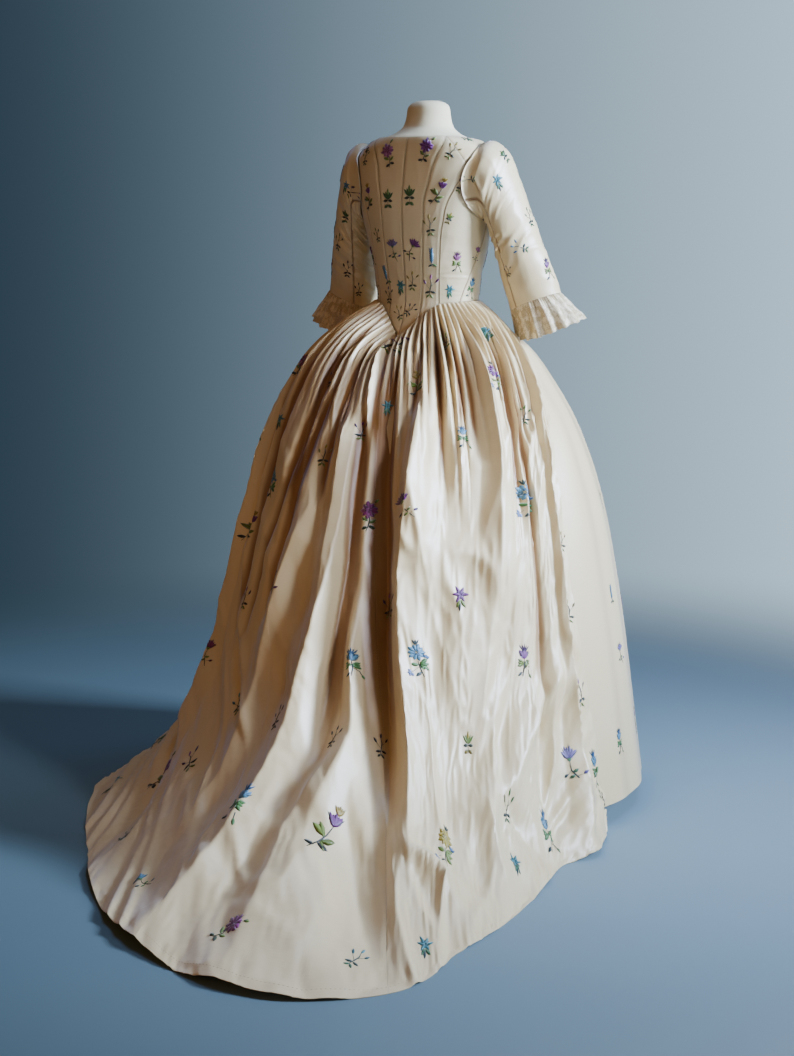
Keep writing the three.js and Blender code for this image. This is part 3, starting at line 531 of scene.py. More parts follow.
def patch(name, left, right, bottom, top, columns, rows):
    """A bodice piece between four lines of the form, each a function of 0 to 1."""
    inset = 1.35 * SEAM_GAP
    span = lambda a, b: float(np.linalg.norm(off_form(*a, 0.0) - off_form(*b, 0.0)))
    wide = span(left(0.5), right(0.5))
    tall = max(span(left(0.0), left(1.0)), span(bottom(0.5), top(0.5)))
    u = spread(inset / wide, 1 - inset / wide, columns)
    v = spread(inset / tall, 1 - inset / tall, rows)
    U, V = np.meshgrid(u, v)
    grid = []
    for k in (0, 1):
        corners = [left(0.0)[k], right(0.0)[k], left(1.0)[k], right(1.0)[k]]
        grid.append(
            (1 - V) * bottom(U)[k] + V * top(U)[k] + (1 - U) * left(V)[k] + U * right(V)[k]
            - (1 - U) * (1 - V) * corners[0] - U * (1 - V) * corners[1]
            - (1 - U) * V * corners[2] - U * V * corners[3]
        )  # fmt: skip
    angle, z = grid
    seam = np.minimum(U, 1 - U) * wide
    ends = np.minimum(V, 1 - V) * tall
    roll = 0.6 * bell(seam, 1.7) + 0.5 * bell(ends, 2.0)
    welt = 0.35 * bell(seam - 5.5, 2.2)
    out = shoulder_lift(z) + BODICE_OUT + bodice_drag(angle, z) + welt - roll
    outer = off_form(angle, z, out)
    inner = off_form(angle, z, shoulder_lift(z) + EASE)
    # Painted shade for the silk's colour: along each seam, and growing towards the waist.
    fold = 0.55 * bell(seam, 1.6) + 0.3 * soft((1200 - z) / 160)
    return cloth_wall(name, outer, inner, u * wide, v * tall, fold)


def straight(a, b):
    return lambda u: (mix(a[0], b[0], u), mix(a[1], b[1], u))


def waist_between(a, b):
    return lambda u: (mix(a[0], b[0], u), waist_at(mix(a[0], b[0], u)))


# %% The bodice's pieces, each side
bodice_pieces = {}
SIDES = {1: "left", -1: "right"}
UNDER_ARM = (57.0, 180.0)  # degrees down round the armhole, from its top, where the side piece is


def bodice_side(side):
    hand = SIDES[side]
    centre = seam_line("centre", side, NECKLINE)
    inner = seam_line("inner", side, NECKLINE)
    outer = seam_line("outer", side, STRAP_SEAM)
    side_seam = seam_line("side", side, SIDE_TOP)
    front_edge = straight((180.0 * side, waist_at(180.0)), (180.0 * side, FRONT_NECKLINE))
    tuck = 3.0  # how far the cloth reaches in under the sleeve's edge

    def under_arm(u):
        def drawn(turn):
            back = (ARM_BACK - tuck) * np.sin(np.radians(turn))
            rise = (ARM_HEIGHT - tuck) * np.cos(np.radians(turn))
            return side * (ARM_ANGLE - back), ARM_Z + rise

        angle, z = drawn(mix(UNDER_ARM[0], UNDER_ARM[1], u))
        first, last = drawn(UNDER_ARM[0]), drawn(UNDER_ARM[1])
        return (
            angle + mix(outer(1.0)[0] - first[0], side_seam(1.0)[0] - last[0], u),
            z + mix(outer(1.0)[1] - first[1], side_seam(1.0)[1] - last[1], u),
        )

    def front_top(u):
        angle = side * read(front_top_rows, "angle", u)
        shift = side_seam(1.0)[0] - side * read(front_top_rows, "angle", 0.0)
        return angle + shift * (1 - soft(u / 0.3)), read(front_top_rows, "z", u)

    def arm_edge(v):
        angle = side * read(strap_rows, "arm", v)
        shift = outer(1.0)[0] - side * read(strap_rows, "arm", 0.0)
        return angle + shift * (1 - soft(v / 0.3)), read(strap_rows, "arm_z", v)

    def neck_edge(v):
        return side * read(strap_rows, "neck", v), read(strap_rows, "neck_z", v)

    made = {
        "bodice_back_centre": patch(
            f"silk_back_centre_{hand}", centre, inner, waist_between(centre(0.0), inner(0.0)),
            straight(centre(1.0), inner(1.0)), 34, 110,
        ),
        "bodice_back_side": patch(
            f"silk_back_side_{hand}", inner, outer, waist_between(inner(0.0), outer(0.0)),
            straight(inner(1.0), outer(1.0)), 34, 96,
        ),
        "bodice_side": patch(
            f"silk_side_{hand}", outer, side_seam, waist_between(outer(0.0), side_seam(0.0)),
            under_arm, 34, 72,
        ),
        "bodice_front": patch(
            f"silk_front_{hand}", side_seam, front_edge,
            waist_between(side_seam(0.0), front_edge(0.0)), front_top, 60, 60,
        ),
        "shoulder_strap": patch(
            f"silk_strap_{hand}", neck_edge, arm_edge, straight(neck_edge(0.0), arm_edge(0.0)),
            straight(neck_edge(1.0), arm_edge(1.0)), 24, 72,
        ),
    }  # fmt: skip
    for node, piece in made.items():
        bodice_pieces[f"{node}_{hand}"] = declare(piece, f"{node}_{hand}")


for side in SIDES:
    bodice_side(side)

# %% [markdown]
# ## Sleeves and lace ruffles
# The sleeves are close, cut in two pieces, and bend at the elbow. The cloth drags from the back
# seam and creases at the bend. Below each hangs one ruffle of lace, gathered tightly to the
# sleeve's end, in waves that open towards its scalloped edge.

# %% Sizes and tables of the sleeves
SLEEVE_BACK_SEAM, SLEEVE_FRONT_SEAM = 118.0, -100.0
SLEEVE_CLOTH = (1.1, 390)  # millimetres for each degree round it, and along all of it
HEAD_OUT = BODICE_OUT + 5
LACE, RUFFLE_WAVES, RUFFLE_COLUMNS = 0.7, 17, 425
RUFFLE_CLOTH = (1.86, 78)  # millimetres for each column, and down all of it
sleeve_rows = table(
    "at in_x in_z out_x out_z y deep",
    (0, 141, 1274, 126, 1432, 10, 66), (0.1, 146, 1270, 156, 1441, 9, 68),
    (0.22, 149, 1264, 186, 1422, 5, 66), (0.36, 151, 1251, 207, 1369, -4, 61),
    (0.52, 154, 1222, 227, 1306, -17, 58), (0.68, 158, 1180, 246, 1242, -34, 56),
    (0.84, 164, 1130, 265, 1180, -52, 54), (1, 172, 1076, 283, 1118, -70, 52),
)  # fmt: skip


def on_sleeve(side, turn, along, inward):
    """Points of the sleeve: turn is in degrees from its outer side, growing to the back."""
    turn, along = np.broadcast_arrays(np.asarray(turn, float), np.asarray(along, float))
    get = lambda column: read(sleeve_rows, column, along)
    cos, sin = np.cos(np.radians(turn)), np.sin(np.radians(turn))
    in_x, in_z, out_x, out_z = get("in_x"), get("in_z"), get("out_x"), get("out_z")
    half_width = np.hypot(out_x - in_x, out_z - in_z) / 2
    reach = 0.5 + 0.5 * (half_width - inward) / half_width * cos
    free_x, free_z = side * mix(in_x, out_x, reach), mix(in_z, out_z, reach)
    free = np.stack([free_x, get("y") + (get("deep") - inward) * sin, free_z], axis=-1)
    angle = ARM_ANGLE - np.where(sin > 0, ARM_BACK, ARM_FRONT) * sin
    height = ARM_Z + ARM_HEIGHT * cos
    seated = off_form(side * angle, height, HEAD_OUT + shoulder_lift(height) - inward)
    return mix(seated, free, soft(along / 0.1)[..., None])


def sleeve_drag(side, turn, along):
    """Creases of the sleeve: short at the head, longer across the bend of the elbow."""
    bend = bell(along - 0.62, 0.2) * (0.5 + 0.5 * np.cos(np.radians(turn - 150)))
    head = bell(along - 0.16, 0.12) * (0.5 + 0.5 * np.cos(np.radians(turn - 95)))
    slant = creases(turn / 58 + along * 3.0, along * 15 - turn / 70, 23 + side)
    fan = creases(turn / 34 - along * 4.0, along * 7 + turn / 90, 29 + side)
    broad = noise(turn / 60, along * 4, 31 + side)
    ends = soft((1 - along) / 0.06) * soft(along / 0.05)
    return (slant * (1.1 + 3.4 * bend) + fan * (0.9 + 2.8 * head) + 1.6 * broad) * ends


def on_silk_sleeve(side, turn, along):
    return on_sleeve(side, turn, along, -sleeve_drag(side, turn, along))


def cuff_axis(side):
    return unit(np.array([side * 0.3, -0.26, -0.92]))


def on_ruffle(side, turn, down, inward):
    """Points of the ruffle: waves that grow towards its edge, and small gathers at its top."""
    turn, down = np.broadcast_arrays(np.asarray(turn, float), np.asarray(down, float))
    outer = 0.5 + 0.5 * np.cos(np.radians(turn))
    back = 0.5 + 0.5 * np.sin(np.radians(turn))
    near_skirt = bell(turn - 172, 52)
    long = 71 + 12 * np.sin(np.radians(turn)) - 28 * near_skirt
    flare = (2 + 24 * outer + 10 * back - 3 * near_skirt) * down
    beat = turn * RUFFLE_WAVES + 70 * noise(turn / 40, down * 0.8, 41 + side) * down
    fold = np.cos(np.radians(beat))
    wave = fold * mix(0.9, 4.6 - 2 * near_skirt, down) * (1 + 0.3 * noise(turn / 30, 0, 43 + side))
    gathers = 0.9 * np.cos(np.radians(turn * 68 + 160 * noise(turn / 9, 0, 45))) * bell(down, 0.22)
    crush = 0.8 * creases(turn / 9, down * 3.5, 47 + side) * soft(down / 0.3)
    scallop = down**3 * (1.4 * fold + 1.8 * np.abs(np.sin(np.radians(turn * RUFFLE_WAVES * 1.5))))
    start = on_sleeve(side, turn, 1.0, 0.0)
    middle = 0.5 * (on_sleeve(side, 0.0, 1.0, 0.0) + on_sleeve(side, 180.0, 1.0, 0.0))
    outward = unit(start - middle)
    fall = 2 * SEAM_GAP + long * down + scallop
    out = flare + wave + gathers + crush - inward - 0.6
    return start + cuff_axis(side) * fall[..., None] + outward * out[..., None]


# %% The sleeves' meshes
sleeve_pieces = {}


def sleeve_wall(name, side, first, last, columns, node):
    turn, along = spread(first, last, columns), spread(0, 1, 88)
    T, A = np.meshgrid(turn, along)
    edge = np.minimum(T - first, last - T) * SLEEVE_CLOTH[0]
    roll = 0.8 * bell(edge, 2.2) - 0.3 * bell(edge - 5.5, 2.4)
    drag = sleeve_drag(side, T, A)
    outer = on_sleeve(side, T, A, roll - drag)
    inner = on_sleeve(side, T, A, SILK)
    # Painted shade for the silk's colour: along each seam and in the hollows of the creases.
    fold = 0.7 * bell(edge, 2.5) + 0.25 * soft(-drag / 2)
    piece = cloth_wall(name, outer, inner, turn * SLEEVE_CLOTH[0], along * SLEEVE_CLOTH[1], fold)
    sleeve_pieces[node] = declare(piece, node)


def ruffle_wall(side):
    hand = SIDES[side]
    turn, down = np.arange(RUFFLE_COLUMNS) * 360 / RUFFLE_COLUMNS, spread(0, 1, 22)
    T, D = np.meshgrid(turn, down)
    outer, inner = on_ruffle(side, T, D, 0.0), on_ruffle(side, T, D, LACE)
    piece = cloth_wall(
        f"lace_ruffle_{hand}", outer, inner, np.arange(RUFFLE_COLUMNS + 1) * RUFFLE_CLOTH[0],
        down * RUFFLE_CLOTH[1], 0.6 * bell(D, 0.12), closed=True,
    )  # fmt: skip
    sleeve_pieces[f"cuff_ruffle_{hand}"] = declare(piece, f"cuff_ruffle_{hand}")


SEAM_TURN = 0.45  # degrees of turn at each sleeve seam
for side, hand in SIDES.items():
    sleeve_wall(
        f"silk_sleeve_upper_{hand}", side, SLEEVE_FRONT_SEAM + SEAM_TURN,
        SLEEVE_BACK_SEAM - SEAM_TURN, 96, f"sleeve_upper_{hand}",
    )  # fmt: skip
    sleeve_wall(
        f"silk_sleeve_under_{hand}", side, SLEEVE_BACK_SEAM + SEAM_TURN,
        SLEEVE_FRONT_SEAM + 360 - SEAM_TURN, 60, f"sleeve_under_{hand}",
    )  # fmt: skip
    ruffle_wall(side)

# %% [markdown]
# ## The skirt and its train
# Yards of silk are pleated into the waist, so the top is a row of narrow knife pleats. Each
# opens downwards in a tongue and dies out at its own height, and a few long folds carry on to
# the hem, where the train lies on the floor. A smooth bell from tables gives the size, and three
# layers of relief stand on it: the pleats, the folds, and the crumples of crisp silk.

# %% Sizes and tables of the skirt
SKIRT_WALL, SILK_SKIRT = 2.0, 1.2  # the frame's wall, and the silk with its lining
PETTICOAT_OUT = 2.1
SKIRT_OUT = PETTICOAT_OUT + 2 * SKIRT_WALL + 2.2
WAIST_SPREAD, PLEATS, SKIRT_ROWS = 115.0, 46, 13.0
BELL_HEM, TRAIN_HEM, PETTICOAT_END = 500.0, 1180.0, 12.52
WAIST_RADIUS, HEM_EDGE = 112, 76  # millimetres, and degrees round to the front edges at the hem
skirt_rows = table(
    "row bell bell_z train train_z",
    (0, 112, 1100, 112, 1100), (1, 140, 1076, 138, 1072), (2, 175, 1044, 170, 1038),
    (3, 232, 993, 222, 985), (4, 286, 916, 275, 908), (5, 330, 838, 322, 828),
    (6, 374, 728, 370, 718), (7, 405, 616, 412, 602), (8, 430, 482, 462, 462),
    (9, 448, 370, 520, 340), (10, 463, 265, 615, 225), (11, 476, 170, 755, 120),
    (12, 488, 82, 935, 45), (13, 500, 3, 1180, 3),
)  # fmt: skip
hem_rows = table(
    "across angle radius",
    (-1, -76, 505), (-0.86, -66, 570), (-0.8, -61, 608), (-0.72, -54, 620), (-0.6, -47, 695),
    (-0.46, -41, 798), (-0.33, -35, 910), (-0.2, -30, 1015), (-0.09, -27, 1121),
    (0, -24, 1180), (0.1, -16, 1230), (0.2, -8, 1194), (0.3, 0, 1118), (0.38, 7, 1045),
    (0.46, 14, 968), (0.52, 20, 910), (0.6, 28, 847), (0.7, 39, 797), (0.78, 51, 768),
    (0.86, 62, 745), (0.92, 69, 690), (1, 78, 600),
)  # fmt: skip
swing_rows = table(
    "row middle edge",
    (0, 0, 0), (2, 0.05, 0.28), (3, 0.14, 0.55), (4, 0.22, 0.74), (5, 0.31, 0.92),
    (6, 0.39, 1.05), (8, 0.56, 1.09), (10, 0.81, 1.03), (13, 1, 1),
)  # fmt: skip
pleat_rows = table(
    "row deep room spare",
    (0, 1.5, 0.4, 0), (1, 5.5, 4, 0), (2, 9, 12, 0), (3, 10.5, 20, 0), (4, 8.5, 26, 0),
    (5, 4.6, 28, 0), (6, 1.6, 28, 0), (7, 0, 28, 20), (8, 0, 28, 50), (9, 0, 28, 60),
    (13, 0, 24, 60),
)  # fmt: skip
# Half the cloth's girth and its length below the waist at each row, for patterns of a real size.
cloth_rows = table(
    "row girth fall",
    (0, 240, 0), (3, 480, 155), (6, 900, 460), (9, 1250, 830), (11, 1750, 1110),
    (13, 2350, 1500),
)  # fmt: skip

# %% Long folds: from, bend, to as (across, down), its two half widths, and how far it stands out
folds = [
    # the ridge down the middle, the valley left of it, and where the ridge breaks on the floor
    ((-0.2, 0.3), (-0.1, 0.56), (-0.06, 0.86), 0.1, 0.03, 26),
    ((-0.06, 0.86), (-0.15, 0.9), (-0.25, 0.97), 0.045, 0.04, 22),
    ((-0.06, 0.26), (-0.04, 0.6), (0.0, 0.86), 0.03, 0.055, -34),
    # right of the back
    ((-0.48, 0.22), (-0.485, 0.42), (-0.46, 0.58), 0.06, 0.04, 15),
    ((-0.53, 0.14), (-0.54, 0.3), (-0.55, 0.44), 0.03, 0.03, 9),
    ((-0.13, 0.42), (-0.22, 0.6), (-0.31, 0.75), 0.13, 0.08, 12),
    ((-0.84, 0.2), (-0.92, 0.5), (-0.8, 1.0), 0.035, 0.03, 16),
    ((-0.84, 0.69), (-0.57, 0.79), (-0.37, 0.87), 0.09, 0.13, 14),
    ((-0.47, 0.86), (-0.58, 0.94), (-0.68, 1.0), 0.05, 0.05, -16),
    ((-0.66, 0.28), (-0.74, 0.6), (-0.68, 0.92), 0.03, 0.045, -12),
    ((-0.36, 0.84), (-0.38, 0.92), (-0.42, 1.0), 0.04, 0.04, 14),
    ((-0.28, 0.17), (-0.275, 0.3), (-0.26, 0.44), 0.02, 0.03, -10),
    ((-0.2, 0.17), (-0.2, 0.26), (-0.19, 0.36), 0.014, 0.024, -8),
    ((-0.36, 0.17), (-0.365, 0.26), (-0.35, 0.38), 0.02, 0.03, -10),
    ((-0.6, 0.18), (-0.62, 0.34), (-0.6, 0.5), 0.022, 0.035, -11),
    # left of the back
    ((0.06, 0.34), (0.085, 0.55), (0.16, 0.76), 0.035, 0.018, -26),
    ((0.12, 0.34), (0.135, 0.5), (0.14, 0.62), 0.03, 0.03, 11),
    ((0.1, 0.54), (0.2, 0.72), (0.32, 1.0), 0.05, 0.06, 32),
    ((0.1, 0.75), (0.17, 0.85), (0.175, 1.0), 0.09, 0.03, 24),
    ((0.06, 0.6), (0.07, 0.74), (0.13, 0.84), 0.02, 0.02, 13),
    ((0.07, 0.82), (0.04, 0.91), (0.01, 1.0), 0.02, 0.05, -16),
    ((0.0, 0.8), (-0.02, 0.92), (-0.02, 1.0), 0.05, 0.025, 12),
    ((0.22, 0.48), (0.34, 0.67), (0.4, 0.9), 0.05, 0.05, 17),
    ((0.26, 0.14), (0.35, 0.42), (0.49, 0.68), 0.015, 0.022, -9),
    ((0.33, 0.18), (0.32, 0.33), (0.34, 0.48), 0.02, 0.03, -12),
    ((0.24, 0.28), (0.31, 0.46), (0.37, 0.62), 0.03, 0.018, -14),
    ((0.46, 0.2), (0.5, 0.4), (0.56, 0.66), 0.03, 0.04, -12),
    ((0.16, 0.18), (0.17, 0.34), (0.2, 0.5), 0.02, 0.03, -10),
    ((0.78, 0.8), (0.62, 0.91), (0.57, 0.98), 0.04, 0.05, -16),
    ((0.66, 0.3), (0.7, 0.56), (0.72, 0.9), 0.045, 0.03, 14),
    ((0.82, 0.3), (0.84, 0.6), (0.84, 0.95), 0.03, 0.04, -12),
    ((0.57, 0.2), (0.6, 0.36), (0.64, 0.56), 0.022, 0.03, -9),
    ((0.74, 0.2), (0.77, 0.4), (0.78, 0.6), 0.02, 0.032, -8),
]

# %% Small folds that a seeded draw lays between them, so that no two gores are alike
draw = np.random.default_rng(20)
PLEAT_SIZE = draw.uniform(0.72, 1.22, PLEATS + 1)
PLEAT_END = draw.uniform(3.4, 6.8, PLEATS + 1)
PLEAT_SHIFT = np.concatenate([[0], draw.uniform(-0.2, 0.2, PLEATS - 1), [0]])
SMALL_FOLDS = 40
for k in range(SMALL_FOLDS):
    middle = -0.96 + 1.92 * (k + draw.uniform(0.15, 0.85)) / SMALL_FOLDS
    top = draw.uniform(0.1, 0.22)
    end = top + draw.uniform(0.14, 0.34)
    lean = draw.uniform(-0.012, 0.012)
    wide = draw.uniform(0.008, 0.018)
    deep = draw.uniform(3.5, 8.0) * (-1 if k % 3 else 1) * (0.3 if middle > 0.3 else 1)
    folds.append(
        ((middle, top), (middle + lean, (top + end) / 2), (middle + 2 * lean, end),
         wide * draw.uniform(0.7, 1.2), wide * draw.uniform(0.9, 1.6), deep)
    )  # fmt: skip


# %% The smooth skirt and its relief
FOLD_HEIGHT, FLANK = 1.6, 1.6  # flat flanks between a sharp crest and a soft foot


def train_share(across):
    """0 where the skirt is a round bell, 1 where its hem runs out as far as the train."""
    return (read(hem_rows, "radius", across) - BELL_HEM) / (TRAIN_HEM - BELL_HEM)


def waist_fade(row):
    """How much of the waist's own shape is left: 1 at its seam, 0 from row 5."""
    return np.clip(1 - row / 5, 0, 1) ** 1.3


def smooth_skirt(across, row):
    """The skirt without folds: across runs -1 to 1 between its front edges, row 0 to 13."""
    trained = train_share(across)
    waist_angle = across * WAIST_SPREAD
    near_edge = soft((np.abs(across) - 0.45) / 0.55)
    swing = mix(read(swing_rows, "middle", row), read(swing_rows, "edge", row), near_edge)
    angle = mix(waist_angle, read(hem_rows, "angle", across), swing)
    fade = waist_fade(row)
    seam_z = waist_at(waist_angle) - 2 * SEAM_GAP
    seam = off_form(waist_angle, seam_z, SKIRT_OUT)
    seam_radius = np.hypot(seam[..., 0], seam[..., 1])
    hip = 30 * soft(row / 3.5) * soft((7 - row) / 3.5) * bell(angle - 60, 27)
    radius = mix(read(skirt_rows, "bell", row), read(skirt_rows, "train", row), trained)
    radius = radius + (seam_radius - WAIST_RADIUS) * fade + hip
    level = np.clip(trained, 0, 1)
    z = mix(read(skirt_rows, "bell_z", row), read(skirt_rows, "train_z", row), level)
    z = z + (seam_z - WAIST) * fade
    turned = np.radians(angle)
    return np.stack([radius * np.sin(turned), radius * np.cos(turned), z], axis=-1)


PLEAT_VALLEY = 0.66  # a knife pleat's inner fold lies at this part of its width


def pleat_relief(across, row):
    """Knife pleats: each rises slowly to a rounded fold and drops steeply behind it."""
    bounds = np.arange(PLEATS + 1) + PLEAT_SHIFT
    place = (across + 1) / 2 * PLEATS
    place = place + 0.3 * noise(place / 2.5, row / 2.2, 51) * soft((row - 0.6) / 2)
    place = np.interp(np.clip(place, 0, PLEATS - 1e-6), bounds, np.arange(PLEATS + 1))
    pleat = np.clip(np.floor(place).astype(int), 0, PLEATS - 1)
    part = place - pleat
    rise = np.where(
        part < PLEAT_VALLEY, 1 - part / PLEAT_VALLEY, (part - PLEAT_VALLEY) / (1 - PLEAT_VALLEY)
    )
    near = np.where(part > PLEAT_VALLEY, pleat + 1, pleat)
    shape = 2 * np.sin(np.pi / 2 * rise) - 1
    size, end = PLEAT_SIZE[near], PLEAT_END[near]
    deep = read(pleat_rows, "deep", row * 6.4 / end)
    kept = bell(across + 0.14, 0.1) * 3 * soft((7 - row) / 3)
    deep = deep * (1 - 0.75 * soft((across - 0.22) / 0.3) * soft((row - 2.2) / 1.6))
    return shape * size * np.maximum(deep, kept), rise


def fold_relief(across, down):
    """All long and small folds together."""
    out = np.zeros_like(across)
    for start, bend, end, low_side, high_side, deep in folds:
        length = end[1] - start[1]
        u = (down - start[1]) / length
        c = np.clip(u, 0, 1)
        bend_at = (bend[1] - start[1]) / length
        before = mix(start[0], bend[0], c / bend_at)
        after = mix(bend[0], end[0], (c - bend_at) / (1 - bend_at))
        line = np.where(c < bend_at, before, after)
        finish = 1.0 if end[1] > 0.97 else soft((1.15 - u) / 0.4)
        ends = soft((u + 0.15) / 0.4) * finish * ((u > -0.15) & (u < 1.15))
        away = across - line
        wide = np.where(away < 0, low_side, high_side) * mix(0.75, 1.2, c)
        flank = np.maximum(0, 1 - np.abs(away / wide) / FLANK)
        out = out + FOLD_HEIGHT * deep * ends * flank**1.2
    return out * (1 - 0.75 * soft((down - 0.88) / 0.12))


def crumple(across, row):
    """Crisp creases of the silk itself, in millimetres, at their real size on the cloth."""
    s = across * read(cloth_rows, "girth", row)
    t = read(cloth_rows, "fall", row)
    strength = soft((row - 2.5) / 3)
    streaks = creases(s / 62, t / 260, 61) * 1.3 * soft((11 - row) / 4)
    facets = creases(s / 140 + t / 420, t / 165, 65) * 7.0
    small = creases(s / 28 + t / 130, t / 44, 69) * 1.6
    broad = noise(s / 240, t / 320, 73) * 7.0
    calm = 1 - 0.55 * soft((across - 0.36) / 0.2) * soft((10 - row) / 3)
    return strength * calm * (streaks + facets + small + broad)


def relief(across, row):
    """How far the cloth stands out from the smooth skirt, and how deep in a fold it lies, as
    painted shade.
    """
    pleats, rise = pleat_relief(across, row)
    edge = soft((1 - np.abs(across)) / 0.16)
    big = fold_relief(across, row / SKIRT_ROWS)
    out = pleats * mix(0.35, 1, edge) + big * edge + crumple(across, row)
    room = read(pleat_rows, "room", row) * mix(0.4, 1, soft((0.92 - np.abs(across)) / 0.2))
    room = room + np.clip(train_share(across), 0, 1) * read(pleat_rows, "spare", row)
    # Painted shade: the silk's colour turns warm brown inside the knife pleats near the waist and
    # in the long folds' valleys, less so on the train.
    pleated = soft((7 - row) / 3) * (1 - rise)
    valley_shade_weight = 0.8 * (1 - 0.8 * soft((row - 8) / 3))
    fold_shade = np.clip(0.55 * pleated + soft(-big / 14) * valley_shade_weight, 0, 1)
    low = -room * (1 - np.exp(np.minimum(out, 0) / room))
    return np.where(out < 0, low, out), fold_shade


def skirt_point(across, row, inner):
    """A point of the skirt with its relief, inner millimetres inside its outer face."""
    at = smooth_skirt(across, row)
    right, left = np.maximum(across - 0.01, -1), np.minimum(across + 0.01, 1)
    side = smooth_skirt(left, row) - smooth_skirt(right, row)
    higher, lower = np.maximum(row - 0.1, 0), np.minimum(row + 0.1, SKIRT_ROWS)
    fall = smooth_skirt(across, lower) - smooth_skirt(across, higher)
    normal = unit(np.cross(side, fall))
    normal = normal * np.where(normal[..., 2:] < 0, -1, 1)
    flat = soft((row - 11.5) / 1.5)[..., None]
    normal = unit(mix(normal, np.array([0.0, 0.0, 1.0]), 0.5 * flat))
    out, fold_shade = relief(across, row)
    at = at + normal * (out - inner)[..., None]
    at[..., 2] = np.maximum(at[..., 2], 0.4 + (1.2 if inner == 0 else 0))
    return at, fold_shade


def on_skirt(across, row):
    across, row = np.broadcast_arrays(np.asarray(across, float), np.asarray(row, float))
    return skirt_point(across, row, 0.0)[0]


# %% The gown skirt's three widths of cloth
HALF_GIRTH = 2350  # millimetres of cloth round half of the hem
SEAM_SLIT = 0.00016  # of the half girth, left open on each side of a seam
skirt_down = np.concatenate([spread(0, 12.86, 178), spread(12.88, SKIRT_ROWS, 6)])
skirt_pieces = {}
for node, first, last, columns in (
    ("skirt_right", 0, 23, 230), ("skirt_back", 23, 30, 84), ("skirt_left", 30, PLEATS, 176),
):  # fmt: skip
    low = 2 * first / PLEATS - 1 + (SEAM_SLIT if first else 0)
    high = 2 * last / PLEATS - 1 - (SEAM_SLIT if last < PLEATS else 0)
    across = spread(low, high, columns)
    A, R = np.meshgrid(across, skirt_down)
    outer, fold_shade = skirt_point(A, R, 0.0)
    inner, _ = skirt_point(A, R, SILK_SKIRT)
    cloth = across * HALF_GIRTH, read(cloth_rows, "fall", skirt_down)
    piece = cloth_wall("silk_" + node, outer, inner, *cloth, fold_shade)
    skirt_pieces[node] = declare(piece, node)

# %% [markdown]
# ## The petticoat
# The gown is open in front over a petticoat of the same silk. It shows between the gown's front
# edges, a plain round skirt with soft gathers, and it ends just above the floor.

# %% The petticoat's points and its two widths of cloth
PETTICOAT_CLOTH = (9, 85)  # millimetres for each degree and each row


def petticoat_point(angle, row, inner):
    """A point of the petticoat, inner millimetres inside its outer face, and its gather's wave."""
    turn = np.abs(angle)
    fade = waist_fade(row)
    seam_z = waist_at(angle) - 3 - 14 * bell(angle - 10, 26)
    seam = off_form(angle, seam_z, PETTICOAT_OUT + SKIRT_WALL)
    top = np.hypot(seam[..., 0], seam[..., 1])
    plan = 1 - 0.18 * soft((turn - 115) / 65) * (1 - fade)
    under = mix(WAIST_SPREAD, HEM_EDGE, read(swing_rows, "edge", row)) - turn
    open_front = soft((-under - 8) / 18)
    beat = angle * 18 + 40 * noise(angle / 23, row / 4, 81) * open_front
    wave = 0.5 - 0.5 * np.cos(np.radians(beat))
    waves = wave * soft(row / 3) * mix(1, 6, open_front)
    tucked = (6 * soft((under + 12) / 12) + 30 * soft(under / 20)) * soft(row / 2)
    small = creases(angle / 5, row / 2.2, 83) * 0.7 * open_front * soft((row - 1) / 3)
    out = read(skirt_rows, "bell", row) * plan + (top - WAIST_RADIUS) * fade
    out = out - tucked - waves + small - inner
    z = read(skirt_rows, "bell_z", row) + (seam_z - WAIST) * fade - inner * fade
    turned = np.radians(angle)
    return np.stack([out * np.sin(turned), out * np.cos(turned), z], axis=-1), wave


def on_petticoat(angle, row):
    angle, row = np.broadcast_arrays(np.asarray(angle, float), np.asarray(row, float))
    return petticoat_point(angle, row, 0.0)[0]


petticoat_pieces = {}
for node, first, last in (("petticoat_back", -89.98, 89.98), ("petticoat_front", 90.02, 269.98)):
    angle, row = spread(first, last, 130), spread(0, PETTICOAT_END, 64)
    A, R = np.meshgrid(angle, row)
    A = np.where(A > 180, A - 360, A)
    outer, wave = petticoat_point(A, R, 0.0)
    inner, _ = petticoat_point(A, R, SILK_SKIRT)
    cloth = angle * PETTICOAT_CLOTH[0], row * PETTICOAT_CLOTH[1]
    # Painted shade: the troughs of the gathers take the silk's warm fold colour.
    piece = cloth_wall("silk_" + node, outer, inner, *cloth, 0.3 * wave)
    petticoat_pieces[node] = declare(piece, node)

# %% [markdown]
# ## Silk taffeta
# Taffeta is a crisp plain weave of silk. Lit from the front it is a cool ivory white, and in its
# folds, where light comes back from silk to silk, it turns warm: that warm shade is painted into
# the colour, a deep brown where the cloth's fold number says a fold, seam or gather lies. It has a
# soft sheen, not a mirror's gloss, thicker threads called slubs that run across the cloth, and a
# faint crush. Real threads lie about 0.1 mm apart, too fine to show, so a coarse grain 5.7 mm wide
# stands for them.

# %% Bands of thread, and the silk's material
WEAVE_SCALE, STRAND_SCALE = 1000 / 18, 1000 / 16  # bands 5.7 mm and 5 mm apart


def bands(tree, uv, scale, distortion, direction):
    sockets = {"Vector": uv, "Scale": scale, "Distortion": distortion}
    return add(tree, "ShaderNodeTexWave", sockets, bands_direction=direction), "Fac"


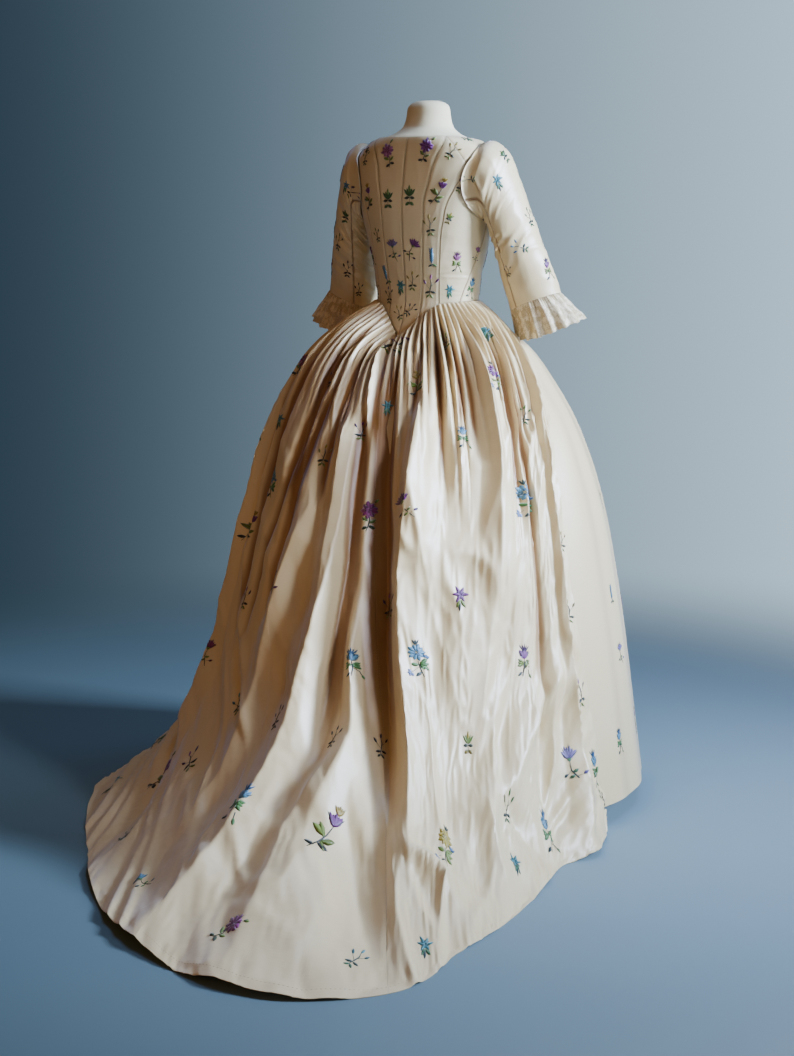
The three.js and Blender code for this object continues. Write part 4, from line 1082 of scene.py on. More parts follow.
def silk_taffeta(name, lit, shaded, deep):
    material, tree = new_material(name)
    uv = (add(tree, "ShaderNodeUVMap", uv_map="cloth"), "UV")
    place = (add(tree, "ShaderNodeTexCoord"), "Object")
    fold = (add(tree, "ShaderNodeAttribute", attribute_name="fold"), "Fac")
    # Random patches between the lit and the shaded tone; the same patches vary the roughness.
    tone_patches = speckle(tree, place, 4.0, 5.0)
    # Painted shade: where the fold number is high, the colour turns to the deep warm brown.
    warm = blend(tree, ramp(tree, fold, (0.2, 0.9)), blend(tree, tone_patches, lit, shaded), deep)
    slub_place = add(tree, "ShaderNodeMapping", {"Vector": uv, "Scale": (28, 900, 1)})
    slub = speckle(tree, (slub_place, "Vector"), 1.0, 2.0)
    toned = tinted(tree, warm, ramp(tree, slub, (0.3, 0.7), (0.965, 1.02)))
    weave = maths(tree, *(bands(tree, uv, WEAVE_SCALE, 0.6, way) for way in "YX"))
    crush = speckle(tree, place, 24.0, 5.0, 0.5, noise_type="RIDGED_MULTIFRACTAL")
    slubbed = bump(tree, slub, 0.25, 0.0003, bump(tree, crush, 0.55, 0.0011))
    finish_material(tree, {
        "Base Color": toned, "Roughness": ramp(tree, tone_patches, last=(0.4, 0.52)),
        "Normal": bump(tree, weave, 0.16, 0.0002, slubbed),
        "Sheen Weight": 0.55, "Sheen Roughness": 0.35, "Sheen Tint": linear("#DCE8FF"),
        "Specular IOR Level": 0.85, "IOR": 1.5,
    })  # fmt: skip
    return material


# The third tone of each silk is the painted shade of its folds, seams and gathers.
ivory_silk = silk_taffeta("ivory_silk_taffeta", "#DEC89A", "#D2B780", "#86581F")
backed_silk = silk_taffeta("linen_backed_silk", "#D8C69C", "#CCB582", "#86622F")
for piece in [*skirt_pieces.values(), *petticoat_pieces.values()]:
    piece.data.materials.append(ivory_silk)
for node, piece in [*bodice_pieces.items(), *sleeve_pieces.items()]:
    if "ruffle" not in node:
        piece.data.materials.append(backed_silk if "bodice" in node else ivory_silk)

# %% [markdown]
# ## Lace, linen and steel
# The ruffles are bobbin lace: denser flowers and leaves of thread held by a net of small holes.
# The form is covered with matt cream linen, a plain weave with visible threads. The stand is
# brushed steel.

# %% The lace
lace, tree = new_material("ecru_bobbin_lace")
uv = (add(tree, "ShaderNodeUVMap", uv_map="cloth"), "UV")
net = add(
    tree, "ShaderNodeTexVoronoi", {"Vector": uv, "Scale": 520.0, "Randomness": 0.35},
    feature="DISTANCE_TO_EDGE",
)  # fmt: skip
flower = add(
    tree, "ShaderNodeTexVoronoi", {"Vector": uv, "Scale": 72.0, "Randomness": 0.7},
    feature="SMOOTH_F1",
)  # fmt: skip
net_holes = ramp(tree, (net, "Distance"), (0.16, 0.3))
dense = maths(tree, (flower, "Distance"), speckle(tree, uv, 210.0, 2.0, 1.4), "ADD")
open_net = ramp(tree, dense, (0.84, 0.98))
flowers_raised = bump(tree, dense, 0.8, 0.0012, invert=True)
finish_material(tree, {
    "Base Color": blend(tree, open_net, "#E4D5B2", "#CBB488"), "Roughness": 0.85,
    "Alpha": ramp(tree, maths(tree, net_holes, open_net), last=(1.0, 0.42)),
    "Normal": bump(tree, net_holes, 0.5, 0.0004, flowers_raised, invert=True),
    "Sheen Weight": 0.2, "Sheen Roughness": 0.5,
})  # fmt: skip
for node, piece in sleeve_pieces.items():
    if "ruffle" in node:
        piece.data.materials.append(lace)

# %% The form's linen
linen, tree = new_material("cream_linen_cover")
place = (add(tree, "ShaderNodeTexCoord"), "Object")
finish_material(tree, {
    "Base Color": blend(tree, speckle(tree, place, 9.0, 5.0), "#E4D7B2", "#D6C69A"),
    "Roughness": 0.82, "Normal": bump(tree, speckle(tree, place, 1400.0, 1.0), 0.25, 0.0004),
})  # fmt: skip
form_cover.data.materials.clear()
form_cover.data.materials.append(linen)

# %% The stand's steel
steel, tree = new_material("brushed_steel")
place = (add(tree, "ShaderNodeTexCoord"), "Object")
stretch = add(tree, "ShaderNodeMapping", {"Vector": place, "Scale": (900, 900, 12)})
brush = speckle(tree, (stretch, "Vector"), 1.0, 3.0)
finish_material(tree, {
    "Base Color": linear("#A9A7A2"), "Metallic": 1.0,
    "Roughness": ramp(tree, brush, last=(0.28, 0.46)), "Normal": bump(tree, brush, 0.15, 0.0001),
})  # fmt: skip
for node in ("stand_pole", "stand_base"):
    for slot in bpy.data.objects[node].material_slots:
        slot.material = steel

# %% [markdown]
# ## Embroidered sprigs
# Single flowering sprigs are worked all over the silk in floss: satin stitch fills each petal
# and leaf, so it stands up as a small crowned patch, and stems are narrow cords of stitches. A
# sprig is drawn flat here, as a list of leaves and stems in millimetres, and each of its points
# is then laid on the cloth's own surface, so the sprigs follow every fold.

# %% Colours of the floss: flower, its shade, leaf, dark leaf
FLOSS = {
    "mauve": ("#C06AA2", "#7A2468", "#7F9A38", "#27331F"),
    "purple": ("#963C98", "#561A62", "#8A9F38", "#24301F"),
    "magenta": ("#A02A80", "#64184E", "#88A83A", "#2F4F26"),
    "lilac": ("#A08CCB", "#6C57A2", "#639A6C", "#2B4640"),
    "blue": ("#6BA9C4", "#3B74A0", "#5E9A48", "#274A44"),
    "teal": ("#58AEB0", "#2E8088", "#4E9160", "#24504C"),
    "yellow": ("#D0B63C", "#A08C28", "#87A23A", "#36451F"),
    "green": ("#7FA548", "#4B7A30", "#3F7230", "#22361C"),
    "dark": ("#4A3F4E", "#2B2833", "#3F4F30", "#1F1F1A"),
}


# %% Drawing a sprig: every stroke is a leaf or a stem
def leaf(x, y, angle, long, wide, colour):
    """A pointed patch of satin stitch that grows from (x, y) at an angle."""
    turn = math.radians(angle)
    return [("leaf", (x, y), (math.cos(turn), math.sin(turn)), long, wide, colour)]


def stem(points, colour, wide=1.5):
    return [("stem", points, None, None, wide, colour)]


def fan(x, y, first, last, count, long, wide, colour):
    """Leaves spread out from one point, between two angles."""
    made = []
    for k in range(count):
        turn = first + (last - first) * (k / max(count - 1, 1))
        made += leaf(x, y, turn, long * (1 - 0.12 * (k % 2)), wide, colour)
    return made


def rose(main, shade, green, dark):
    return (
        stem([(0, 2), (2, -8), (0, -18), (-3, -26)], dark)
        + leaf(0, -10, 150, 13, 6, green) + leaf(1, -13, 30, 12, 5, green)
        + leaf(-1, -19, 200, 10, 5, dark) + leaf(0, -17, -25, 11, 5, dark)
        + fan(0, 8, 12, 348, 9, 15, 8, main) + fan(0, 9, 30, 330, 6, 9, 5, shade)
        + fan(0, 9, 70, 250, 3, 4, 3, main) + fan(0, 8, -8, 312, 8, 16, 1.5, dark)
        + stem([(3, 14), (10, 22)], dark, 1.2) + leaf(9, 20, 40, 9, 4, green)
        + leaf(10, 19, 75, 7, 3, dark)
    )  # fmt: skip


def thistle(main, shade, green, dark):
    return (
        stem([(7, 10), (3, 0), (-3, -10), (-11, -22)], dark)
        + fan(9, 22, 60, 125, 5, 10, 3, "#D2B038") + fan(7, 10, 62, 122, 5, 14, 5.5, main)
        + fan(8, 12, 75, 110, 2, 9, 3.5, shade) + fan(7, 10, 52, 132, 3, 15, 1.5, dark)
        + leaf(2, -2, 158, 19, 7, green) + leaf(1, -4, 125, 16, 6, green)
        + leaf(-2, -9, 20, 16, 6, green) + leaf(-4, -12, -12, 13, 5, dark)
        + leaf(-6, -15, 185, 11, 4.5, dark) + leaf(-2, -8, -50, 12, 4, green)
    )  # fmt: skip


def bell_flower(main, shade, green, dark):
    return (
        fan(0, 14, 50, 130, 5, 14, 2.2, shade) + fan(0, 4, 55, 125, 5, 16, 7, main)
        + fan(0, 5, 75, 105, 2, 11, 3.5, shade) + stem([(0, 5), (1, -8), (-2, -22)], dark)
        + fan(0, 4, 45, 135, 4, 17, 1.4, dark)
        + fan(0, -3, 150, 200, 3, 13, 5, green) + fan(0, -3, -20, 30, 3, 13, 5, green)
        + stem([(0, -6), (9, -12), (12, -20)], dark, 1.2) + leaf(11, -17, -60, 8, 3.5, green)
        + leaf(-2, -16, 215, 10, 4, dark)
    )  # fmt: skip


def carnation(main, shade, green, dark):
    return (
        fan(0, 5, 35, 145, 7, 16, 5, main) + fan(0, 5, 48, 132, 4, 10, 3, shade)
        + fan(0, 5, 28, 152, 6, 17, 1.4, dark)
        + fan(0, 2, 70, 110, 2, 7, 4, green)
        + stem([(0, 3), (0, -8), (5, -18), (9, -25)], dark) + stem([(0, -8), (-7, -13)], dark, 1.2)
        + stem([(4, -16), (12, -15)], dark, 1.2) + leaf(-6, -12, 205, 8, 3.5, dark)
        + leaf(11, -15, 20, 8, 3.5, shade) + leaf(1, -11, 20, 9, 3.5, green)
        + leaf(3, -14, 200, 9, 3.5, green)
    )  # fmt: skip


def star(main, shade, green, dark):
    return (
        fan(0, 4, 0, 300, 6, 11, 3.6, main) + fan(0, 4, 30, 330, 6, 6, 2.4, shade)
        + leaf(0, -2, -60, 11, 4, green) + leaf(0, -2, -120, 11, 4, green)
        + leaf(-1, -4, 265, 12, 3, dark)
    )  # fmt: skip


def twig(main, shade, green, dark):
    return (
        stem([(-2, -14), (0, -3), (2, 6), (0, 14)], dark) + stem([(0, -3), (-8, 6)], dark, 1.3)
        + stem([(1, 2), (9, 9)], dark, 1.3) + leaf(-7, 5, 120, 9, 3.5, shade)
        + leaf(8, 8, 50, 9, 3.5, shade) + leaf(0, 13, 80, 9, 3.5, main)
        + leaf(0, -6, 200, 10, 4, dark) + leaf(0, -6, -15, 10, 4, dark)
        + leaf(-1, -11, -45, 9, 3.5, green) + leaf(-1, -11, 225, 8, 3.5, green)
    )  # fmt: skip


def feather(main, shade, green, dark):
    made = leaf(0, -18, 88, 36, 7, main) + stem([(0, 12), (0, -8), (3, -26)], dark, 1.3)
    for k in range(6):
        y = -14 + 4.6 * k
        made += leaf(0, y, 62, 9, 2.2, shade) + leaf(0, y, 118, 9, 2.2, shade)
    return made + leaf(1, -17, -30, 11, 4, green) + leaf(1, -18, 205, 10, 4, dark)


def ring_flower(main, shade, green, dark):
    return (
        fan(0, 10, 0, 324, 10, 13, 6, main) + fan(0, 10, 18, 342, 8, 7.5, 4, shade)
        + fan(0, 10, 0, 288, 5, 4, 3, "#E8DFA8") + fan(0, 20, 60, 120, 3, 9, 2.2, dark)
        + stem([(1, -2), (4, -14), (8, -26)], dark) + fan(3, -8, -30, 40, 3, 15, 6, green)
        + leaf(2, -8, 170, 12, 5, green) + leaf(5, -18, 215, 11, 4.5, dark)
        + stem([(3, -10), (-8, -18)], dark, 1.2) + fan(-9, -19, 130, 290, 4, 6.5, 4, "#8FA6D8")
        + fan(12, 2, 20, 120, 3, 6, 3.5, "#5B8FC0")
    )  # fmt: skip


def tuft(main, shade, green, dark):
    return (
        fan(0, 0, 50, 130, 5, 15, 4.2, green) + leaf(0, 0, 90, 18, 4.5, main)
        + leaf(0, -1, 190, 9, 4.5, dark) + leaf(0, -1, -10, 9, 4.5, dark)
        + stem([(0, 1), (0, -12)], dark) + leaf(0, -8, 215, 9, 5, shade)
        + leaf(0, -8, -35, 9, 5, shade)
    )  # fmt: skip


KINDS = {
    "rose": rose, "thistle": thistle, "bell": bell_flower, "carnation": carnation, "star": star,
    "twig": twig, "feather": feather, "ring": ring_flower, "tuft": tuft,
}  # fmt: skip


# %% Laying a flat drawing on a surface
# Each surface with the steps of a and b that its slopes are measured over.
SURFACES = {
    "bodice": (on_bodice, 3.0, 6.0),
    "sleeve_left": (lambda a, b: on_silk_sleeve(1, a, b), 4.0, 0.02),
    "sleeve_right": (lambda a, b: on_silk_sleeve(-1, a, b), 4.0, 0.02),
    "skirt": (on_skirt, 0.012, 0.12),
    "petticoat": (on_petticoat, 1.5, 0.12),
}
FRAMES = {"bodice": lambda a, b: off_form(a, b, 5.0), "skirt": smooth_skirt}


def lay(surface, a, b, drawing, heights):
    """Flat points (x to the right, y up the cloth) as points on the surface round (a, b)."""
    point, step_a, step_b = SURFACES[surface]
    smooth = FRAMES.get(surface, point)
    by_a = (smooth(a + step_a, b) - smooth(a - step_a, b)) / (2 * step_a)
    by_b = (smooth(a, b + step_b) - smooth(a, b - step_b)) / (2 * step_b)
    rises = 1 if surface == "bodice" else -1
    up = unit(by_b * rises)
    out = unit(np.cross(by_a, by_b))
    here = smooth(a, b)
    middle = np.array([0.0, 0.0, 0.0 if surface in ("skirt", "petticoat") else here[2]])
    if "sleeve" in surface:
        middle = 0.5 * (point(0.0, b) + point(180.0, b))
    out = out * (1 if np.dot(out, here - middle) > 0 else -1)
    right = np.cross(up, out)
    grid = np.array([[by_a @ right, by_b @ right], [by_a @ up, by_b @ up]])
    shift = np.linalg.solve(grid, drawing.T)
    A, B = a + shift[0], b + shift[1]
    e = 0.15
    at = point(A, B)
    da = point(A + e * step_a, B) - point(A - e * step_a, B)
    db = point(A, B + e * step_b) - point(A, B - e * step_b)
    normal = unit(np.cross(da, db))
    normal = normal * np.where((normal @ out) < 0, -1, 1)[:, None]
    return at + normal * heights[:, None]


BACKING, LEAF_CROWN, CORD_CROWN = 0.35, 1.0, 0.9  # heights above the cloth, millimetres
SPRIG_SCALE, SKIRT_SCALE, SMALL_SCALE, FULLNESS, CORD = 1.15, 1.15, 1.22, 1.15, 1.45
TRAIN_STRETCH = 0.5  # sprigs on the train are worked taller, to be read where it lies flat
FLOSS_DEPTH = 0.55  # floss drinks light between its strands, so it looks deeper than its dye


def stroke_points(stroke, size, turn):
    """A stroke's flat points, heights, triangles and the place of each point in the stitches."""
    kind, start, way, long, wide, _ = stroke
    flat, heights, threads, line = [], [], [], []
    if kind == "leaf":
        side = (-way[1], way[0])
        for t, w in ((0, 0), (0.22, 0.72), (0.52, 1.0), (0.8, 0.62), (1, 0)):
            line.append(((start[0] + way[0] * long * t, start[1] + way[1] * long * t), side, w))
    else:
        for k, p in enumerate(start):
            q0, q1 = start[max(k - 1, 0)], start[min(k + 1, len(start) - 1)]
            dx, dy = q1[0] - q0[0], q1[1] - q0[1]
            norm = math.hypot(dx, dy)
            line.append((p, (-dy / norm, dx / norm), 0.8 if 0 < k < len(start) - 1 else 0.3))
    crown = LEAF_CROWN if kind == "leaf" else CORD_CROWN
    for k, (p, side, w) in enumerate(line):
        w = max(w, 0.04)
        full = FULLNESS if kind == "leaf" else CORD
        for off, high in ((-1, 0), (0, crown * w), (1, 0)):
            flat.append([p[n] + side[n] * off * w * wide * full / 2 for n in (0, 1)])
            heights.append(BACKING + high)
            threads.append((off * w * wide / 2, k * 3.0))
    triangles = []
    for k in range(len(line) - 1):
        a, b = 3 * k, 3 * k + 3
        for m in range(3):
            n = (m + 1) % 3
            triangles += [(a + m, b + m, b + n), (a + m, b + n, a + n)]
    end = 3 * (len(line) - 1)
    triangles += [(0, 1, 2), (end, end + 2, end + 1)]
    flat = np.array(flat) * size * SPRIG_SCALE
    cos, sin = math.cos(turn), math.sin(turn)
    flat = flat @ np.array([[cos, sin], [-sin, cos]])
    return flat, np.array(heights), np.array(triangles), np.array(threads)


def embroider(name, surface, rows):
    """One object of all the sprigs on a surface: rows of (a, b, kind, floss, size, turn)."""
    points, faces, uv, colours, count = [], [], [], [], 0
    wobble = np.random.default_rng(len(rows))
    for a, b, kind, floss, size, turn in rows:
        size = size * (SMALL_SCALE if kind in ("twig", "star", "tuft") else 1)
        flats, heights, tris, threads, paint = [], [], [], [], []
        inside = 0
        for stroke in KINDS[kind](*FLOSS[floss]):
            flat, high, tri, thread = stroke_points(stroke, size, math.radians(turn))
            shade = np.array(linear(stroke[5])) * FLOSS_DEPTH * wobble.uniform(0.8, 1.2)
            flats.append(flat)
            heights.append(high)
            tris.append(tri + inside)
            threads.append(thread)
            paint.append(np.tile(np.append(shade[:3], 1), (len(flat), 1)))
            inside += len(flat)
        drawing = np.concatenate(flats)
        if surface == "skirt":
            drawing = drawing * SKIRT_SCALE * (1, 1 + TRAIN_STRETCH * float(soft((b - 8.5) / 2.5)))
        laid = lay(surface, float(a), float(b), drawing, np.concatenate(heights))
        points.append(laid)
        faces.append(np.concatenate(tris) + count)
        uv.append(np.concatenate(threads))
        colours.append(np.concatenate(paint))
        count += inside
    points, faces = np.concatenate(points), np.concatenate(faces)
    uv, colours = np.concatenate(uv), np.concatenate(colours)
    piece = make_object(name, points, faces, uv[faces.ravel()], colours={"floss": colours})
    fix_outward(piece)
    print(f"{name}: {len(rows)} sprigs, {len(faces)} triangles")
    declare(piece)
    piece.data.materials.append(floss_thread)


def fix_outward(piece):
    """Every stitch is a closed little body, so its faces can all be turned outwards at once."""
    body = bmesh.new()
    body.from_mesh(piece.data)
    bmesh.ops.recalc_face_normals(body, faces=body.faces)
    body.to_mesh(piece.data)
    body.free()


# %% The floss: silk thread laid side by side, shinier than the cloth
floss_thread, tree = new_material("silk_embroidery_floss")
uv = (add(tree, "ShaderNodeUVMap", uv_map="cloth"), "UV")
colour = (add(tree, "ShaderNodeAttribute", attribute_name="floss"), "Color")
strands = bands(tree, uv, STRAND_SCALE, 1.0, "X")
finish_material(tree, {
    "Base Color": tinted(tree, colour, ramp(tree, strands, last=(0.8, 1.12))),
    "Roughness": 0.45, "Normal": bump(tree, strands, 0.5, 0.0004),
    "Sheen Weight": 0.3, "Sheen Roughness": 0.4,
})  # fmt: skip

# %% Where the sprigs are: place (a, b), kind, floss, size, turn
bodice_sprigs = [
    (23, 1410, "rose", "mauve", 0.95, 20), (-24, 1418, "rose", "purple", 0.95, -15),
    (51, 1404, "twig", "green", 0.7, 10), (55, 1424, "twig", "dark", 0.7, 60),
    (-49, 1414, "twig", "yellow", 0.8, -40), (-70, 1437, "tuft", "green", 0.7, -90),
    (46, 1318, "thistle", "purple", 0.9, 20), (-36, 1328, "thistle", "purple", 1.0, -10),
    (21, 1316, "tuft", "green", 0.95, 0), (-6, 1322, "tuft", "green", 1.0, 0),
    (-56, 1344, "twig", "mauve", 0.7, -30), (-47, 1276, "tuft", "yellow", 0.6, -20),
    (-29, 1260, "twig", "yellow", 0.85, 10), (40, 1240, "twig", "green", 0.6, 15),
    (20, 1212, "carnation", "lilac", 0.95, 0), (-7, 1214, "carnation", "purple", 0.95, -35),
    (-31, 1198, "feather", "blue", 0.9, 5), (37, 1160, "feather", "blue", 0.9, 12),
    (-58, 1184, "bell", "mauve", 0.8, 0), (14, 1130, "star", "teal", 0.85, 0),
    (-5, 1142, "twig", "yellow", 0.8, 0), (-30, 1130, "twig", "mauve", 0.95, 0),
    (-53, 1122, "star", "teal", 0.8, 0), (35, 1110, "twig", "dark", 0.7, 0),
    (16, 1072, "twig", "yellow", 0.65, 30), (-1, 1080, "twig", "dark", 0.65, -40),
    (-81, 1202, "carnation", "mauve", 0.7, -20), (-79, 1128, "bell", "blue", 0.8, -15),
    (60, 1196, "bell", "mauve", 0.75, 0), (62, 1120, "twig", "yellow", 0.7, 0),
    (82, 1160, "star", "blue", 0.7, 0), (84, 1230, "tuft", "green", 0.7, 0),
]
for side in (1, -1):
    for a, b, kind, floss, size in (
        (112, 1270, "thistle", "purple", 0.8), (112, 1190, "rose", "mauve", 0.75),
        (110, 1128, "twig", "yellow", 0.7), (138, 1240, "feather", "blue", 0.75),
        (136, 1160, "carnation", "purple", 0.75), (158, 1272, "star", "teal", 0.7),
        (160, 1200, "tuft", "green", 0.8), (158, 1125, "bell", "blue", 0.75),
        (116, 1385, "twig", "green", 0.6),
    ):  # fmt: skip
        bodice_sprigs.append((a * side, b, kind, floss, size, 12 * side))

sleeve_sprigs = {
    "right": [
        (16, 0.26, "tuft", "green", 0.8, 20), (58, 0.33, "star", "teal", 0.95, 0),
        (88, 0.06, "twig", "green", 0.6, 0), (154, 0.2, "feather", "dark", 0.6, 30),
        (8, 0.59, "twig", "green", 0.8, 0), (62, 0.71, "twig", "blue", 0.8, 60),
        (110, 0.79, "twig", "dark", 0.5, 0), (14, 0.87, "bell", "purple", 0.85, -10),
        (-40, 0.2, "rose", "mauve", 0.8, 0), (-52, 0.5, "thistle", "purple", 0.8, 0),
        (-46, 0.8, "star", "teal", 0.8, 0), (-120, 0.42, "twig", "yellow", 0.7, 0),
        (-130, 0.76, "tuft", "green", 0.7, 0), (160, 0.55, "twig", "green", 0.6, 0),
    ],
    "left": [
        (104, 0.12, "twig", "purple", 0.7, 0), (88, 0.22, "star", "blue", 0.7, 0),
        (72, 0.67, "twig", "green", 0.8, 0), (102, 0.8, "twig", "dark", 0.75, 0),
        (130, 0.9, "twig", "dark", 0.6, 0), (40, 0.3, "rose", "purple", 0.8, 0),
        (34, 0.62, "bell", "blue", 0.8, 0), (30, 0.87, "thistle", "purple", 0.8, 0),
        (96, 0.45, "tuft", "green", 0.75, 0), (-20, 0.42, "star", "teal", 0.8, 0),
        (-46, 0.2, "twig", "yellow", 0.7, 0), (-54, 0.66, "feather", "blue", 0.7, 0),
        (-120, 0.45, "carnation", "mauve", 0.7, 0),
    ],
}  # fmt: skip
skirt_sprigs = [
    (0.045, 1.7, "twig", "purple", 0.8, 0), (-0.05, 2.1, "twig", "mauve", 0.9, 0),
    (0.3, 3.5, "twig", "dark", 0.8, 0), (0.21, 5.4, "twig", "yellow", 0.8, 0),
    (0.47, 6.05, "ring", "blue", 1.0, 0), (0.07, 4.8, "twig", "purple", 0.7, 0),
    (-0.03, 4.1, "star", "teal", 0.8, 0), (0.02, 6.35, "rose", "magenta", 1.0, 0),
    (-0.13, 6.25, "carnation", "purple", 0.95, 20), (-0.17, 3.6, "thistle", "yellow", 0.9, 20),
    (-0.34, 2.4, "twig", "green", 0.6, 0), (-0.62, 2.2, "star", "teal", 0.85, 0),
    (-0.53, 3.65, "ring", "purple", 1.0, 0), (-0.36, 5.0, "bell", "blue", 0.8, 0),
    (-0.64, 6.2, "ring", "blue", 1.15, 0), (-0.97, 7.05, "twig", "yellow", 0.7, 0),
    (-0.96, 8.15, "twig", "yellow", 0.8, 0), (-0.94, 9.7, "twig", "purple", 0.8, 0),
    (-0.96, 11.4, "bell", "blue", 0.85, 0), (-0.97, 12.2, "twig", "green", 0.5, 0),
    (-0.32, 7.65, "star", "purple", 1.1, 0), (0.31, 7.55, "carnation", "mauve", 1.0, 0),
    (0.5, 8.0, "twig", "purple", 0.8, 0), (-0.05, 7.7, "twig", "purple", 0.8, 0),
    (0.06, 8.6, "bell", "blue", 0.95, 0), (-0.15, 8.55, "ring", "blue", 1.1, 0),
    (-0.59, 8.8, "bell", "purple", 1.0, 0), (0.43, 9.6, "twig", "teal", 0.8, 30),
    (0.25, 9.6, "twig", "dark", 0.85, 0), (0.52, 10.8, "twig", "purple", 0.9, 60),
    (0.26, 11.0, "bell", "blue", 1.1, -20), (0.54, 12.35, "twig", "green", 0.7, 60),
    (0.38, 12.45, "carnation", "blue", 0.8, 60), (0.1, 11.0, "thistle", "purple", 1.2, -10),
    (0.11, 9.7, "twig", "dark", 0.7, -20), (0.01, 9.7, "twig", "dark", 0.7, 0),
    (0.19, 12.45, "rose", "magenta", 0.95, -50), (0.04, 12.5, "twig", "teal", 0.85, -30),
    (-0.1, 12.6, "star", "teal", 0.9, 0), (-0.2, 11.4, "ring", "yellow", 1.0, -15),
    (-0.33, 9.95, "tuft", "yellow", 0.7, 0), (-0.67, 12.15, "bell", "blue", 0.95, 0),
    (-0.45, 11.2, "twig", "green", 0.7, 0), (-0.75, 4.6, "twig", "green", 0.7, 0),
    (-0.8, 10.9, "carnation", "lilac", 0.9, 0), (-0.45, 12.2, "star", "teal", 0.8, 0),
    (0.62, 3.4, "rose", "mauve", 0.95, 0), (0.72, 5.2, "bell", "blue", 1.0, 0),
    (0.88, 4.2, "twig", "green", 0.8, 0), (0.62, 7.0, "thistle", "purple", 1.0, 0),
    (0.82, 7.4, "ring", "purple", 1.0, 0), (0.7, 9.2, "carnation", "magenta", 0.95, 0),
    (0.92, 9.6, "feather", "blue", 0.9, 0), (0.66, 11.4, "rose", "purple", 0.95, 0),
    (0.86, 11.5, "bell", "lilac", 1.0, 0), (0.78, 12.5, "star", "teal", 0.9, 0),
    (0.55, 4.9, "star", "teal", 0.8, 0), (0.94, 6.2, "twig", "yellow", 0.8, 0),
]  # fmt: skip
petticoat_sprigs = [
    (-95, 8.05, "feather", "blue", 0.9, 0), (-96, 9.25, "carnation", "lilac", 0.9, 0),
    (-88, 11.1, "bell", "blue", 1.0, 0), (-108, 6.6, "twig", "yellow", 0.8, 0),
    (-122, 5.0, "rose", "mauve", 0.95, 0), (-118, 8.6, "ring", "purple", 1.0, 0),
    (-112, 11.2, "thistle", "purple", 1.0, 0), (-142, 3.6, "twig", "green", 0.8, 0),
    (-140, 6.8, "bell", "blue", 1.0, 0), (-140, 10.0, "carnation", "magenta", 1.0, 0),
    (-160, 5.2, "star", "teal", 0.95, 0), (-160, 8.4, "rose", "purple", 1.0, 0),
    (-158, 11.6, "ring", "blue", 1.0, 0), (180, 3.8, "thistle", "purple", 1.0, 0),
    (179, 6.8, "ring", "yellow", 1.0, 0), (178, 10.2, "bell", "lilac", 1.0, 0),
    (160, 5.2, "carnation", "purple", 0.95, 0), (160, 8.4, "feather", "blue", 1.0, 0),
    (158, 11.6, "rose", "magenta", 1.0, 0), (142, 3.6, "star", "teal", 0.8, 0),
    (140, 6.8, "ring", "blue", 1.0, 0), (140, 10.0, "thistle", "purple", 1.0, 0),
    (122, 5.0, "twig", "yellow", 0.9, 0), (118, 8.6, "bell", "mauve", 1.0, 0),
    (112, 11.3, "carnation", "blue", 1.0, 0), (98, 9.6, "twig", "green", 0.8, 0),
]  # fmt: skip
embroider("sprigs_bodice", "bodice", bodice_sprigs)
for hand, rows in sleeve_sprigs.items():
    embroider(f"sprigs_sleeve_{hand}", f"sleeve_{hand}", rows)
embroider("sprigs_skirt", "skirt", skirt_sprigs)
embroider("sprigs_petticoat", "petticoat", petticoat_sprigs)

# %% [markdown]
# ## Stitches
# The gown is sewn by hand, so its seams are lines of short stitches: a running stitch beside each
# bodice seam and along the hem, slanting ones where the pleats are whipped to the waist, and the
# gathering thread of each ruffle. A seam repeats one small shape along a path, so Geometry Nodes
# make it: the path becomes a curve, the curve becomes points a stitch apart, and a small grain of
# thread stands at each point, turned along the path.

# %% The stitches' tree
sewing_thread, tree = new_material("silk_sewing_thread")
twist = speckle(tree, (add(tree, "ShaderNodeTexCoord"), "Object"), 900.0, 1.0)
finish_material(tree, {
    "Base Color": blend(tree, twist, "#B79F74", "#D8C7A2"), "Roughness": 0.6,
    "Normal": bump(tree, twist, 0.4, 0.0002),
})  # fmt: skip

stitch_tree = bpy.data.node_groups.new("stitches_along_a_seam", "GeometryNodeTree")
stitch_inputs = {}
for label, kind in (
    ("Seam", "Geometry"), ("Spacing", "Float"), ("Length", "Float"), ("Width", "Float"),
    ("Lean", "Float"), ("Thread", "Material"),
):  # fmt: skip
    kind = "NodeSocket" + kind
    socket = stitch_tree.interface.new_socket(label, in_out="INPUT", socket_type=kind)
    stitch_inputs[label] = socket.identifier
stitch_tree.interface.new_socket("Stitches", in_out="OUTPUT", socket_type="NodeSocketGeometry")
sizes = add(stitch_tree, "NodeGroupInput")
curve = add(stitch_tree, "GeometryNodeMeshToCurve", {"Mesh": (sizes, "Seam")})
points = add(
    stitch_tree, "GeometryNodeCurveToPoints",
    {"Curve": (curve, "Curve"), "Length": (sizes, "Spacing")}, mode="LENGTH",
)  # fmt: skip
grain = add(stitch_tree, "GeometryNodeMeshIcoSphere", {"Radius": 0.5, "Subdivisions": 1})
lean = add(stitch_tree, "ShaderNodeCombineXYZ", {"Z": (sizes, "Lean")})
along = add(
    stitch_tree, "ShaderNodeVectorMath", {0: (points, "Tangent"), 1: (lean, "Vector")},
    operation="ADD",
)  # fmt: skip
turned = add(
    stitch_tree, "FunctionNodeAlignRotationToVector", {"Vector": (along, "Vector")}, axis="Z"
)
scale = add(
    stitch_tree, "ShaderNodeCombineXYZ",
    {"X": (sizes, "Width"), "Y": (sizes, "Width"), "Z": (sizes, "Length")},
)  # fmt: skip
placed = add(
    stitch_tree, "GeometryNodeInstanceOnPoints",
    {"Points": (points, "Points"), "Instance": (grain, "Mesh"),
     "Rotation": (turned, "Rotation"), "Scale": (scale, "Vector")},
)  # fmt: skip
